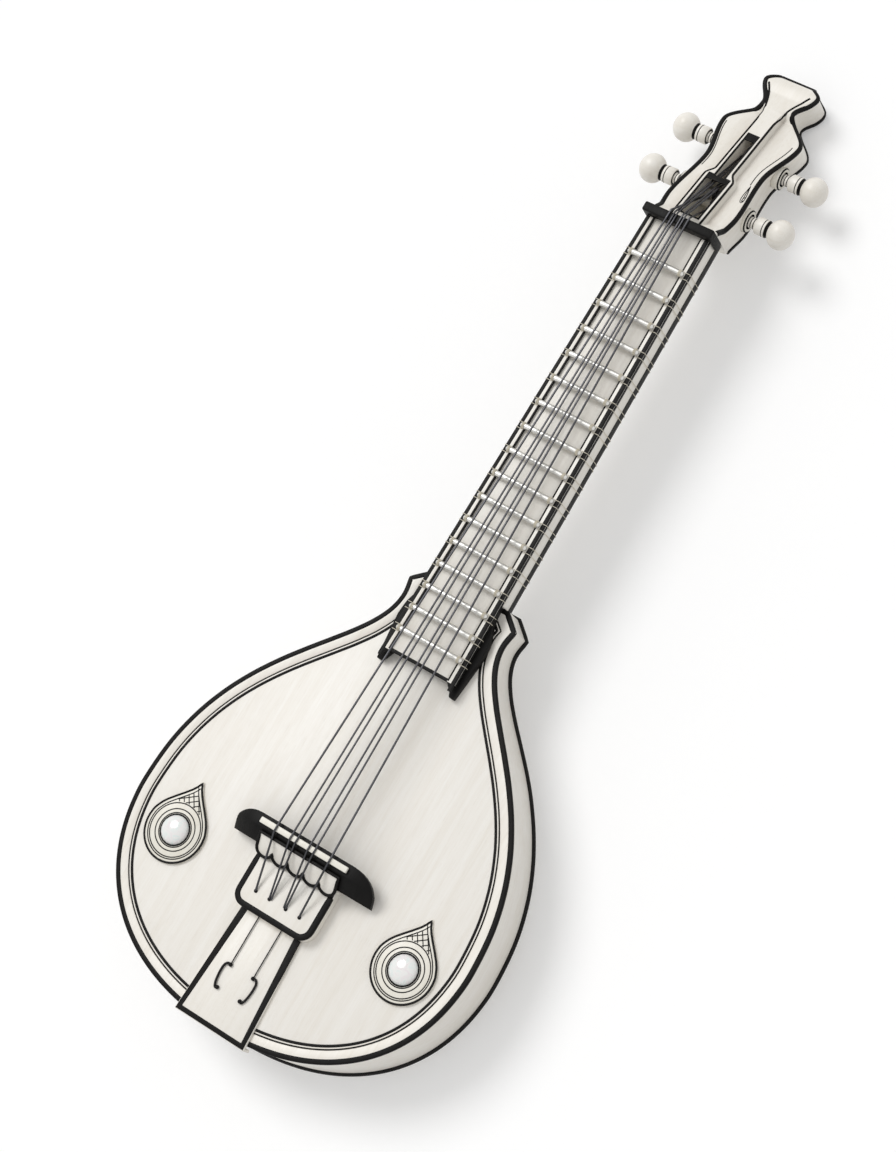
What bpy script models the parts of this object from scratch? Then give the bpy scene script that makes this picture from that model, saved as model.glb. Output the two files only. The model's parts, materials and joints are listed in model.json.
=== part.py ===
"""A sitar lying on its back, built from its separate pieces, in metres.

The crest of the bridge stands over y = 0. The head points to +Y, the strings face +Z, and the
flat back of the bowl and the underside of the scroll rest on z = 0.
"""
import math

import bmesh
import bpy
from mathutils import Vector
from mathutils.geometry import interpolate_bezier, intersect_line_line

# Clearances
FIT_GAP = 0.0003            # between glued or seated faces
PEG_PLAY = 0.0004           # round a peg in its bush and in the head

# Facets on a short curve and on a turned piece
CURVE_STEPS = 5
TURN_STEPS = 20

# Body outline, seen from the front
BODY_TAIL = 0.195           # bridge crest back to the tail end
BODY_WIDEST = 0.022         # bridge crest back to the widest place
BODY_WAIST = 0.262          # bridge crest forward to the narrowest place
SHOULDER_LENGTH = 0.018     # waist forward to the shoulder corner
SHOULDER_SLANT = 0.015      # corner forward to the end face that carries the neck
BODY_WIDTH = 0.408
WAIST_WIDTH = 0.124
SHOULDER_WIDTH = 0.130
BODY_END_WIDTH = 0.094
TAIL_HANDLE = 0.125         # how far the tail end stays flat
BACK_HANDLE = 0.105         # how far the flanks stay straight behind the widest place
FRONT_HANDLE = 0.165        # and ahead of it
WAIST_HANDLE = 0.065        # how far the waist stays straight
OUTLINE_STEPS = 12          # points on each of the two curves of a flank

# Bowl and what is glued into it
BODY_DEPTH = 0.086
EDGE_RADIUS = 0.028         # rounding between flank and back
BACK_RISE_START = 0.150     # bridge crest forward to where the back leaves the level
BACK_LEDGE = 0.006          # how far the bowl's end face reaches below the neck's back
BOWL_WALL = 0.005
TOP_THICKNESS = 0.004       # soundboard, binding and purfling are one level
BINDING_WIDTH = 0.013
PURFLING_WIDTH = 0.005
LINER_WIDTH = 0.018
LINER_HEIGHT = 0.010
BRACE_WIDTH = 0.010
BRACE_HEIGHT = 0.018
BRACE_PLACES = {"brace_lower": -0.095, "brace_upper": 0.095}
NECK_BLOCK_WIDTH = 0.056
NECK_BLOCK_LENGTH = 0.040
TAIL_BLOCK_WIDTH = 0.080
TAIL_BLOCK_LENGTH = 0.030

# Neck and fingerboard
SCALE_LENGTH = 0.715        # bridge crest to the middle of the nut
BOARD_END = 0.205           # bridge crest to the lower end of the fingerboard
BOARD_WIDTH_END = 0.088
BOARD_WIDTH_NUT = 0.072
BOARD_THICKNESS = 0.005
BOARD_RISE = 0.014          # soundboard face to fingerboard face
FOOT_INSET = 0.002          # the foot under the board stands back from its ends
FOOT_FLARE = 0.008          # how far its flanks stand out past the board's edges
FOOT_WIDEST = 0.036         # lower end of the board forward to the foot's widest place
FOOT_CLAW = 0.012           # how far its claws reach past the lower end of the board
FOOT_TIP = 0.005            # width of a claw's tip
NECK_DEPTH = 0.047
NECK_SIDE = 0.022           # straight part of the neck's side
NECK_WALL = 0.007
NECK_FLOOR = 0.012
RAIL_WIDTH = 0.009
RAIL_HEIGHT = 0.0025
RAIL_POINT = 0.009          # the rails run past the board's end to a point
NUT_THICKNESS = 0.010
NUT_WALL = 0.004
NUT_SKIRT = 0.020           # how far the nut's ends reach down past the board's face

# Frets: bent rods, tied on so that they slide
FRET_COUNT = 17
FRET_FIRST = 0.047          # nut to the first fret
FRET_LAST = 0.0235          # lower end of the fingerboard to the last fret
FRET_SHRINK = 0.985         # each step against the step before
FRET_DIAMETER = 0.006
FRET_ARCH = 0.002
FRET_SEAT = 0.005           # length of each end that lies on a rail
FRET_POINTS = 5

# Bridge: a foot under a brim whose wings sweep back and droop
BRIDGE_HEIGHT = 0.033       # soundboard face to crest
BRIDGE_SPAN = 0.168
BRIDGE_CREST = 0.112        # length of the level top
BRIDGE_FOOT = 0.092         # length of the foot
BRIDGE_FRONT = 0.0065       # middle of the strip forward to the front edge
BRIDGE_RIDGE = 0.006        # middle of the strip back to where the brim starts to slope
BRIDGE_BACK = 0.021         # middle of the strip back to the back edge
BRIDGE_SLOPE = 34           # degrees
BRIDGE_SWEEP = 0.0195       # how far the front edge falls back at a wing's tip
BRIDGE_DROOP = 0.010        # how far a wing's tip hangs
BRIDGE_BRIM = 0.006         # thickness of a wing
BRIDGE_WING_STEPS = 8
STRIP_LENGTH = 0.106
STRIP_DEPTH = 0.006
STRIP_HEIGHT = 0.004

# Tail
HOLDER_LENGTH = 0.060
HOLDER_WIDTH = 0.094
HOLDER_HEIGHT = 0.013
HOLDER_CORNER = 0.014
APRON_WIDTH = 0.096
APRON_START = 0.009         # middle of the bridge's strip back to the apron
APRON_LENGTH = 0.024        # down the slope of the bridge
APRON_THICKNESS = 0.002
TAB_COUNT = 5
TAB_ROUND = 0.008           # how far each round end stands out
PLATE_WIDTH_TOP = 0.072
PLATE_WIDTH_END = 0.086
PLATE_THICKNESS = 0.003
PLATE_LIP = 0.014           # turned down over the tail end
WIRE_DIAMETER = 0.0024
WIRE_SPACING = 0.028
HOOK_MARGIN = 0.030         # tail end forward to the end of a hook
HOOK_LENGTH = 0.030
HOOK_SWING = 0.005
HOOK_STEPS = 10

# Strings: single outer courses, doubled inner courses
COURSE_COUNT = 4
STRING_DIAMETER = 0.0016
STRING_LIFT = 0.0026        # fret crown to string at the nut
COURSE_SPACING = 0.022      # at the bridge
NUT_SPACING_OUTER = 0.011   # centre line to the outer courses at the nut
NUT_SPACING_INNER = 0.0045
PAIR_BRIDGE = 0.007         # between the two strings of a doubled course
PAIR_NUT = 0.003
PAIR_PEG = 0.003
PAIR_ANCHOR = 0.0022
ANCHOR_SPACING = 0.018
ANCHOR_BACK = 0.040         # upper end of the holder back to the string ends

# Head
HEAD_LENGTH = 0.200
SCROLL_RADIUS = 0.022
SCROLL_CUT = 0.97           # share of the scroll's radius at which its end is flat
SCROLL_SQUARE = 4           # how square the scroll's upper edge is: 2 is round
HEAD_LOBES = ((0.0, 0.038), (0.027, 0.041), (0.082, 0.0355), (0.131, 0.0465))
SCROLL_WIDTHS = ((-0.036, 0.0195), (-0.010, 0.0325), (0.0, 0.0215))
SPINE_WIDTHS = ((0.0, 0.0160), (0.060, 0.0160), (0.071, 0.0098), (0.152, 0.0092), (0.176, 0.018))
CHEEK_STEP = 0.008          # how far the cheeks lie below the spine
CHEEK_EASE = 0.012          # length over which the step comes and goes
HEAD_ROUND_TOP = 0.005
HEAD_ROUND_BACK = 0.007
SPINE_SLOPE = 0.003
HEAD_STATIONS = 32
SLOT_WIDE = 0.024
SLOT_NARROW = 0.012
SLOT_START = 0.008
SLOT_STEP = 0.062           # where the wide slot gives way to the narrow one
SLOT_END = 0.122
SLOT_FLOOR = 0.008

# Pegs
PEG_LOWER = 0.0445          # head's lower end to the middle of the lower pair
PEG_UPPER = 0.1045          # head's lower end to the middle of the upper pair
PEG_STAGGER = 0.012         # how much further up the left peg of a pair stands
PEG_SEAT = 0.036            # middle of the head to the face that the bush sits on
PEG_SHAFT_RADIUS = 0.0045
PEG_TIP_RADIUS = 0.0038
PEG_TIP_DEPTH = 0.006       # how far the tip goes into the far cheek
PEG_STEM_RADIUS = 0.0058
PEG_STEM_LENGTH = 0.012
PEG_COLLAR_RADIUS = 0.0092
PEG_COLLAR_LENGTH = 0.013
KNOB_RADIUS = 0.0155
KNOB_LENGTH = 0.028
KNOB_STEPS = 8
BUSH_FLANGE_RADIUS = 0.012
BUSH_FLANGE = 0.005
BUSH_SLEEVE_RADIUS = 0.0068
BUSH_SLEEVE = 0.010

# Rosettes on the soundboard
ROSETTE_EDGE = 0.062        # body's widest edge in to the middle of a rosette
ROSETTE_BACK = 0.053        # bridge crest back to the middle of a rosette
ROSETTE_RADIUS = 0.034
ROSETTE_TIP = 0.055         # middle of a rosette forward to its point
ROSETTE_OPEN = 20           # degrees at which the round part gives way to the point
ROSETTE_TIP_HANDLE = 0.018
ROSETTE_THICKNESS = 0.0022
BOSS_RADIUS = 0.015
BOSS_HEIGHT = 0.006
ROUND_STEPS = 20

# Heights that follow from the sizes above
TOP_FACE = BODY_DEPTH + FIT_GAP + TOP_THICKNESS
ON_TOP = TOP_FACE + FIT_GAP
BOARD_FACE = TOP_FACE + BOARD_RISE
BOARD_UNDERSIDE = BOARD_FACE - BOARD_THICKNESS
NECK_TOP = BOARD_UNDERSIDE - FIT_GAP
NECK_BACK = NECK_TOP - NECK_DEPTH
RAIL_TOP = BOARD_FACE + FIT_GAP + RAIL_HEIGHT
FRET_END_HEIGHT = RAIL_TOP + FIT_GAP + FRET_DIAMETER / 2
FRET_CROWN = FRET_END_HEIGHT + FRET_ARCH + FRET_DIAMETER / 2
STRING_AT_NUT = FRET_CROWN + STRING_LIFT + STRING_DIAMETER / 2
STRING_SEAT = STRING_DIAMETER / 2 + FIT_GAP
CREST = ON_TOP + BRIDGE_HEIGHT
HOLDER_TOP = ON_TOP + HOLDER_HEIGHT
PLATE_TOP = ON_TOP + PLATE_THICKNESS

# Each peg's side, place along the head and slot that its shaft crosses
PEGS = {
    "lower_left": (-1, PEG_LOWER + PEG_STAGGER / 2, SLOT_WIDE),
    "lower_right": (1, PEG_LOWER - PEG_STAGGER / 2, SLOT_WIDE),
    "upper_left": (-1, PEG_UPPER + PEG_STAGGER / 2, SLOT_NARROW),
    "upper_right": (1, PEG_UPPER - PEG_STAGGER / 2, SLOT_NARROW),
}

# Places that follow from the sizes above
BODY_END = BODY_WAIST + SHOULDER_LENGTH + SHOULDER_SLANT
NECK_END = SCALE_LENGTH + NUT_THICKNESS / 2
HEAD_START = NECK_END + FIT_GAP
SCROLL_CENTRE = HEAD_LENGTH - SCROLL_RADIUS
HOLDER_START = BRIDGE_BACK + FIT_GAP
HOLDER_END = HOLDER_START + HOLDER_LENGTH
ROSETTE_SIDE = BODY_WIDTH / 2 - ROSETTE_EDGE


def new_collection(name):
    """Return an empty collection that is linked to the scene."""
    group = bpy.data.collections.new(name)
    bpy.context.scene.collection.children.link(group)
    return group


def new_material(name, colour, roughness, metallic=0.0):
    """Return a Principled material of one colour."""
    finish = bpy.data.materials.new(name)
    finish.use_nodes = True
    shader = finish.node_tree.nodes["Principled BSDF"]
    shader.inputs["Base Color"].default_value = (*colour, 1.0)
    shader.inputs["Roughness"].default_value = roughness
    shader.inputs["Metallic"].default_value = metallic
    return finish


def new_object(name, data, finish, group):
    """Wrap mesh or curve data in a named object."""
    piece = bpy.data.objects.new(name, data)
    if finish:
        data.materials.append(finish)
    group.objects.link(piece)
    return piece


def as_cutter(piece):
    """Mark a piece as a cutter, which is no part of the object."""
    piece.hide_render = True
    piece.display_type = 'WIRE'
    return piece


def flat_piece(name, loops, low, high, finish, group):
    """Make a plate from closed outlines in the XY plane, between two heights."""
    curve = bpy.data.curves.new(name, 'CURVE')
    curve.dimensions = '2D'
    curve.fill_mode = 'BOTH'
    curve.extrude = (high - low) / 2
    for loop in loops:
        spline = curve.splines.new('POLY')
        spline.points.add(len(loop) - 1)
        for point, (x, y) in zip(spline.points, loop):
            point.co = (x, y, 0.0, 1.0)
        spline.use_cyclic_u = True
    piece = new_object(name, curve, finish, group)
    piece.location.z = (high + low) / 2
    return piece


def tube(name, points, diameter, finish, group, roundness=2):
    """Make a round rod or wire along a list of points."""
    curve = bpy.data.curves.new(name, 'CURVE')
    curve.dimensions = '3D'
    curve.bevel_depth = diameter / 2
    curve.bevel_resolution = roundness
    curve.use_fill_caps = True
    spline = curve.splines.new('POLY')
    spline.points.add(len(points) - 1)
    for point, place in zip(spline.points, points):
        point.co = (*place, 1.0)
    return new_object(name, curve, finish, group)


def turned(name, profile, finish, group, closed=False):
    """Turn a profile of (radius, height), listed from top to bottom, about local Z."""
    mesh = bpy.data.meshes.new(name)
    points = [(radius, 0.0, height) for radius, height in profile]
    edges = [(i, i + 1) for i in range(len(points) - 1)]
    if closed:
        edges.append((len(points) - 1, 0))
    mesh.from_pydata(points, edges, [])
    piece = new_object(name, mesh, finish, group)
    screw = piece.modifiers.new("turn", 'SCREW')
    screw.axis = 'Z'
    screw.steps = TURN_STEPS
    screw.render_steps = TURN_STEPS
    screw.use_merge_vertices = True
    screw.merge_threshold = 0.00001
    return piece


def lofted(name, sections, finish, group):
    """Join closed sections of equal point count into one closed body."""
    shape = bmesh.new()
    rings = [[shape.verts.new(point) for point in section] for section in sections]
    count = len(rings[0])
    for near, far in zip(rings, rings[1:]):
        for i in range(count):
            j = (i + 1) % count
            shape.faces.new((near[i], near[j], far[j], far[i]))
    shape.faces.new(rings[0])
    shape.faces.new(rings[-1])
    bmesh.ops.recalc_face_normals(shape, faces=shape.faces)
    mesh = bpy.data.meshes.new(name)
    shape.to_mesh(mesh)
    shape.free()
    return new_object(name, mesh, finish, group)


def block(name, low, high, finish, group):
    """Make a box between two corners, with its origin in its middle."""
    shape = bmesh.new()
    bmesh.ops.create_cube(shape, size=1.0)
    size = [b - a for a, b in zip(low, high)]
    bmesh.ops.scale(shape, vec=size, verts=shape.verts)
    mesh = bpy.data.meshes.new(name)
    shape.to_mesh(mesh)
    shape.free()
    piece = new_object(name, mesh, finish, group)
    piece.location = [(a + b) / 2 for a, b in zip(low, high)]
    return piece


def eased(knots, place):
    """Read a value at a place from (place, value) knots, level at each knot."""
    if place <= knots[0][0]:
        return knots[0][1]
    for (start, first), (end, last) in zip(knots, knots[1:]):
        if place <= end:
            part = (place - start) / (end - start)
            return first + (last - first) * part * part * (3 - 2 * part)
    return knots[-1][1]


def flank(inset):
    """Points of the right flank from tail end to waist, moved inwards by inset."""
    tail = Vector((0, -BODY_TAIL, 0))
    widest = Vector((BODY_WIDTH / 2, -BODY_WIDEST, 0))
    waist = Vector((WAIST_WIDTH / 2, BODY_WAIST, 0))
    along = Vector((0, 1, 0))
    tail_handle = tail + Vector((TAIL_HANDLE, 0, 0))
    rear = interpolate_bezier(tail, tail_handle, widest - along * BACK_HANDLE, widest, OUTLINE_STEPS)
    front_handles = (widest + along * FRONT_HANDLE, waist - along * WAIST_HANDLE)
    front = interpolate_bezier(widest, *front_handles, waist, OUTLINE_STEPS)
    path = rear + front[1:]
    tangents = [Vector((1, 0, 0))]
    tangents += [after - before for before, after in zip(path, path[2:])]
    tangents.append(along)
    points = []
    for point, tangent in zip(path, tangents):
        inward = Vector((-tangent.y, tangent.x, 0)).normalized()
        points.append(point + inward * inset)
    return points


def shoulder():
    """Corners of the right shoulder: waist, corner, and the end face's edge and middle."""
    corner = BODY_WAIST + SHOULDER_LENGTH
    return [
        Vector((WAIST_WIDTH / 2, BODY_WAIST, 0)), Vector((SHOULDER_WIDTH / 2, corner, 0)),
        Vector((BODY_END_WIDTH / 2, BODY_END, 0)), Vector((0, BODY_END, 0)),
    ]


def mirrored(right):
    """Close an outline whose right half starts on the centre line."""
    return right + [(-x, y) for x, y in reversed(right[1:])]


def body_outline(inset):
    """Closed outline of the body, moved inwards all round by inset."""
    right = [(point.x, point.y) for point in flank(inset)]
    corners = shoulder()
    lines = []
    for start, end in zip(corners, corners[1:]):
        along = (end - start).normalized()
        inward = Vector((-along.y, along.x, 0)) * inset
        lines.append((start + inward, end + inward))
    flare, slant, end_face = lines
    corner = intersect_line_line(*flare, *slant)[0]
    edge = intersect_line_line(*slant, *end_face)[0]
    if edge.x < corner.x:
        right += [(corner.x, corner.y), (edge.x, edge.y)]
    else:
        # Deep inside, the slant has no length left.
        meeting = intersect_line_line(*flare, *end_face)[0]
        right.append((meeting.x, meeting.y))
    return mirrored(right)


def bowl_outline(inset):
    """Closed outline of the bowl at one height: its flanks move in, its end face stays."""
    right = [(point.x, point.y) for point in flank(inset)]
    right += [(point.x - inset, point.y) for point in shoulder()[1:3]]
    return mirrored(right)


def back_rise(place):
    """How far the bowl's back has risen towards the neck at a place along it."""
    return eased(((BACK_RISE_START, 0.0), (BODY_WAIST + SHOULDER_LENGTH, NECK_BACK - BACK_LEDGE)), place)


def half_width(place, inset):
    """Half the body's width at a place along it, inset from the outline."""
    points = flank(inset)
    for before, after in zip(points, points[1:]):
        if before.y <= place <= after.y:
            part = (place - before.y) / (after.y - before.y)
            return before.x + (after.x - before.x) * part
    return points[-1].x


def board_half(place):
    """Half the fingerboard's width at a place along it."""
    part = (place - BOARD_END) / (SCALE_LENGTH - BOARD_END)
    return (BOARD_WIDTH_END + (BOARD_WIDTH_NUT - BOARD_WIDTH_END) * part) / 2


def board_outline():
    """Outline of the fingerboard, from its lower end to the end of the neck."""
    low = board_half(BOARD_END)
    high = board_half(NECK_END)
    return [(-low, BOARD_END), (low, BOARD_END), (high, NECK_END), (-high, NECK_END)]


def build_bowl(finish, group):
    """Carved bowl: a skin that curves in to its back, given its wall thickness."""
    levels = [(0.0, BODY_DEPTH)]
    for step in range(CURVE_STEPS + 1):
        turn = math.radians(90) * step / CURVE_STEPS
        levels.append((EDGE_RADIUS * (1 - math.cos(turn)), EDGE_RADIUS * (1 - math.sin(turn))))
    shape = bmesh.new()
    rings = []
    for inset, height in levels:
        ring = []
        for x, y in bowl_outline(inset):
            rise = back_rise(y) * (1 - height / BODY_DEPTH)
            ring.append(shape.verts.new((x, y, height + rise)))
        rings.append(ring)
    count = len(rings[0])
    for upper, lower in zip(rings, rings[1:]):
        for i in range(count):
            j = (i + 1) % count
            shape.faces.new((lower[i], lower[j], upper[j], upper[i]))
    # The back is level across, so strips from flank to flank close it.
    back = rings[-1]
    shape.faces.new((back[-1], back[1], back[0]))
    for i in range(1, count // 2):
        shape.faces.new((back[count - i], back[count - i - 1], back[i + 1], back[i]))
    mesh = bpy.data.meshes.new("body_bowl")
    shape.to_mesh(mesh)
    shape.free()
    bowl = new_object("body_bowl", mesh, finish, group)
    wall = bowl.modifiers.new("wall", 'SOLIDIFY')
    wall.thickness = BOWL_WALL
    wall.offset = -1
    wall.use_even_offset = True


def build_top(pale, dark, group):
    """Soundboard with its inlaid border, and the wood that carries it inside the bowl."""
    low = BODY_DEPTH + FIT_GAP
    purfling_start = BINDING_WIDTH + FIT_GAP
    board_start = purfling_start + PURFLING_WIDTH + FIT_GAP
    binding = [body_outline(0.0), body_outline(BINDING_WIDTH)]
    purfling = [body_outline(purfling_start), body_outline(purfling_start + PURFLING_WIDTH)]
    liner_start = BOWL_WALL + FIT_GAP
    liner = [body_outline(liner_start), body_outline(liner_start + LINER_WIDTH)]
    flat_piece("rim_binding", binding, low, TOP_FACE, pale, group)
    flat_piece("purfling", purfling, low, TOP_FACE, dark, group)
    flat_piece("soundboard", [body_outline(board_start)], low, TOP_FACE, pale, group)
    flat_piece("rim_liner", liner, BODY_DEPTH - LINER_HEIGHT, BODY_DEPTH, pale, group)

    liner_end = liner_start + LINER_WIDTH + FIT_GAP
    for name, place in BRACE_PLACES.items():
        edges = (place - BRACE_WIDTH / 2, place + BRACE_WIDTH / 2)
        reach = min(half_width(edge, liner_end) for edge in edges)
        low_corner = (-reach, edges[0], BODY_DEPTH - BRACE_HEIGHT)
        block(name, low_corner, (reach, edges[1], BODY_DEPTH), pale, group)

    under_liner = BODY_DEPTH - LINER_HEIGHT - FIT_GAP
    end = BODY_END - BOWL_WALL - FIT_GAP
    floor = back_rise(end) + BOWL_WALL + FIT_GAP
    low_corner = (-NECK_BLOCK_WIDTH / 2, end - NECK_BLOCK_LENGTH, floor)
    block("neck_block", low_corner, (NECK_BLOCK_WIDTH / 2, end, under_liner), pale, group)

    inner = [point for point in flank(liner_start) if point.x <= TAIL_BLOCK_WIDTH / 2]
    edge = TAIL_BLOCK_WIDTH / 2
    beyond = next(point for point in flank(liner_start) if point.x > edge)
    part = (edge - inner[-1].x) / (beyond.x - inner[-1].x)
    right = [(point.x, point.y) for point in inner]
    right.append((edge, inner[-1].y + (beyond.y - inner[-1].y) * part))
    right.append((edge, inner[0].y + TAIL_BLOCK_LENGTH))
    flat_piece("tail_block", [mirrored(right)], EDGE_RADIUS, under_liner, pale, group)


def neck_section(place):
    """Section of the hollow neck: round back, straight sides, open at the top."""
    half = board_half(place)
    round_depth = NECK_DEPTH - NECK_SIDE
    outer = [(-half, NECK_TOP)]
    for step in range(2 * CURVE_STEPS + 1):
        turn = math.pi * step / (2 * CURVE_STEPS)
        outer.append((-half * math.cos(turn), NECK_TOP - NECK_SIDE - round_depth * math.sin(turn)))
    outer.append((half, NECK_TOP))
    inside = half - NECK_WALL
    floor = NECK_DEPTH - NECK_FLOOR - NECK_SIDE
    inner = [(inside, NECK_TOP)]
    for step in range(2 * CURVE_STEPS + 1):
        turn = math.pi * step / (2 * CURVE_STEPS)
        inner.append((inside * math.cos(turn), NECK_TOP - NECK_SIDE - floor * math.sin(turn)))
    inner.append((-inside, NECK_TOP))
    return [(x, place, z) for x, z in outer + inner]


def foot_outline():
    """Outline of the foot under the board: flared flanks that end in two claws."""
    end = board_half(BOARD_END)
    heel = BOARD_END + FOOT_INSET
    tip = BOARD_END - FOOT_CLAW
    middle = BOARD_END + FOOT_WIDEST
    widest = Vector((board_half(middle) + FOOT_FLARE, middle, 0))
    top = Vector((board_half(BODY_END) - FOOT_INSET, BODY_END, 0))
    handle = Vector((0, (top.y - widest.y) / 2, 0))
    curve = interpolate_bezier(widest, widest + handle, top - handle, top, CURVE_STEPS + 1)
    right = [(0.0, heel), (end - RAIL_WIDTH, heel), (end - FOOT_TIP / 2, tip), (end + FOOT_TIP / 2, tip)]
    return mirrored(right + [(point.x, point.y) for point in curve])


def build_neck(pale, dark, group):
    """Hollow neck, fingerboard with its edge rails and foot, and the nut."""
    neck_start = BODY_END + FIT_GAP
    lofted("neck", [neck_section(neck_start), neck_section(NECK_END)], pale, group)
    flat_piece("fingerboard", [board_outline()], BOARD_UNDERSIDE, BOARD_FACE, pale, group)
    flat_piece("board_foot", [foot_outline()], ON_TOP, NECK_TOP, dark, group)

    nut_start = SCALE_LENGTH - NUT_THICKNESS / 2
    rail_end = nut_start - FIT_GAP
    for name, side in (("edge_rail_left", -1), ("edge_rail_right", 1)):
        low = board_half(BOARD_END)
        high = board_half(rail_end)
        rail = [
            (side * low, BOARD_END - RAIL_POINT),
            (side * low, BOARD_END),
            (side * high, rail_end),
            (side * (high - RAIL_WIDTH), rail_end),
            (side * (low - RAIL_WIDTH), BOARD_END),
        ]
        flat_piece(name, [rail], BOARD_FACE + FIT_GAP, RAIL_TOP, pale, group)

    inside = board_half(nut_start) + FIT_GAP
    outside = inside + NUT_WALL
    top = STRING_AT_NUT - STRING_SEAT
    under = BOARD_FACE + FIT_GAP
    hem = BOARD_FACE - NUT_SKIRT
    profile = [
        (-outside, hem), (-inside, hem), (-inside, under), (inside, under),
        (inside, hem), (outside, hem), (outside, top), (-outside, top),
    ]
    nut_end = NECK_END - FIT_GAP
    ends = [[(x, place, z) for x, z in profile] for place in (nut_start, nut_end)]
    lofted("nut", ends, dark, group)


def fret_places():
    """Distances of the frets from the bridge crest, first fret first."""
    first = SCALE_LENGTH - FRET_FIRST
    last = BOARD_END + FRET_LAST
    steps = [FRET_SHRINK ** number for number in range(FRET_COUNT - 1)]
    unit = (first - last) / sum(steps)
    return [first - unit * sum(steps[:number]) for number in range(FRET_COUNT)]


def build_frets(finish, group):
    """Arched rods whose ends lie on the edge rails."""
    for number, place in enumerate(fret_places(), start=1):
        reach = board_half(place) - RAIL_WIDTH + FRET_SEAT
        points = []
        for step in range(FRET_POINTS):
            share = 2 * step / (FRET_POINTS - 1) - 1
            points.append((share * reach, 0.0, FRET_ARCH * (1 - share * share)))
        fret = tube(f"fret_{number:02d}", points, FRET_DIAMETER, finish, group)
        fret.location = (0.0, place, FRET_END_HEIGHT)


def bridge_top_height(place, y):
    """Height of the bridge's upper face over the soundboard."""
    wing = max(0.0, abs(place) - BRIDGE_CREST / 2) / (BRIDGE_SPAN / 2 - BRIDGE_CREST / 2)
    behind = max(0.0, -BRIDGE_RIDGE - y)
    level = BRIDGE_HEIGHT - STRIP_HEIGHT - BRIDGE_DROOP * wing ** 2
    return level - behind * math.tan(math.radians(BRIDGE_SLOPE))


def bridge_section(place):
    """Section of the bridge at a distance to the right of its middle."""
    wing = max(0.0, abs(place) - BRIDGE_CREST / 2) / (BRIDGE_SPAN / 2 - BRIDGE_CREST / 2)
    front = BRIDGE_FRONT - BRIDGE_SWEEP * (1 - math.sqrt(max(0.0, 1 - wing ** 2)))
    ridge = min(-BRIDGE_RIDGE, front - FIT_GAP)
    on_foot = abs(place) <= BRIDGE_FOOT / 2
    profile = []
    for y in (-BRIDGE_BACK, front):
        under = 0.0 if on_foot else bridge_top_height(place, y) - BRIDGE_BRIM
        profile.append((y, under))
    for y in (front, ridge, -BRIDGE_BACK):
        profile.append((y, bridge_top_height(place, y)))
    return [(place, y, ON_TOP + z) for y, z in profile]


def build_bridge(dark, bone, group):
    """Dark bridge with swept wings, and the strip that the strings cross."""
    crest_end = BRIDGE_CREST / 2
    wing_length = BRIDGE_SPAN / 2 - crest_end
    right = [BRIDGE_FOOT / 2, BRIDGE_FOOT / 2 + FIT_GAP]
    for step in range(BRIDGE_WING_STEPS + 1):
        turn = math.radians(90) * step / BRIDGE_WING_STEPS
        right.append(crest_end + wing_length * math.sin(turn))
    places = [-place for place in reversed(right)] + right
    lofted("bridge_base", [bridge_section(place) for place in places], dark, group)
    low = (-STRIP_LENGTH / 2, -STRIP_DEPTH / 2, CREST - STRIP_HEIGHT + FIT_GAP)
    block("bridge_top", low, (STRIP_LENGTH / 2, STRIP_DEPTH / 2, CREST), bone, group)


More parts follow.
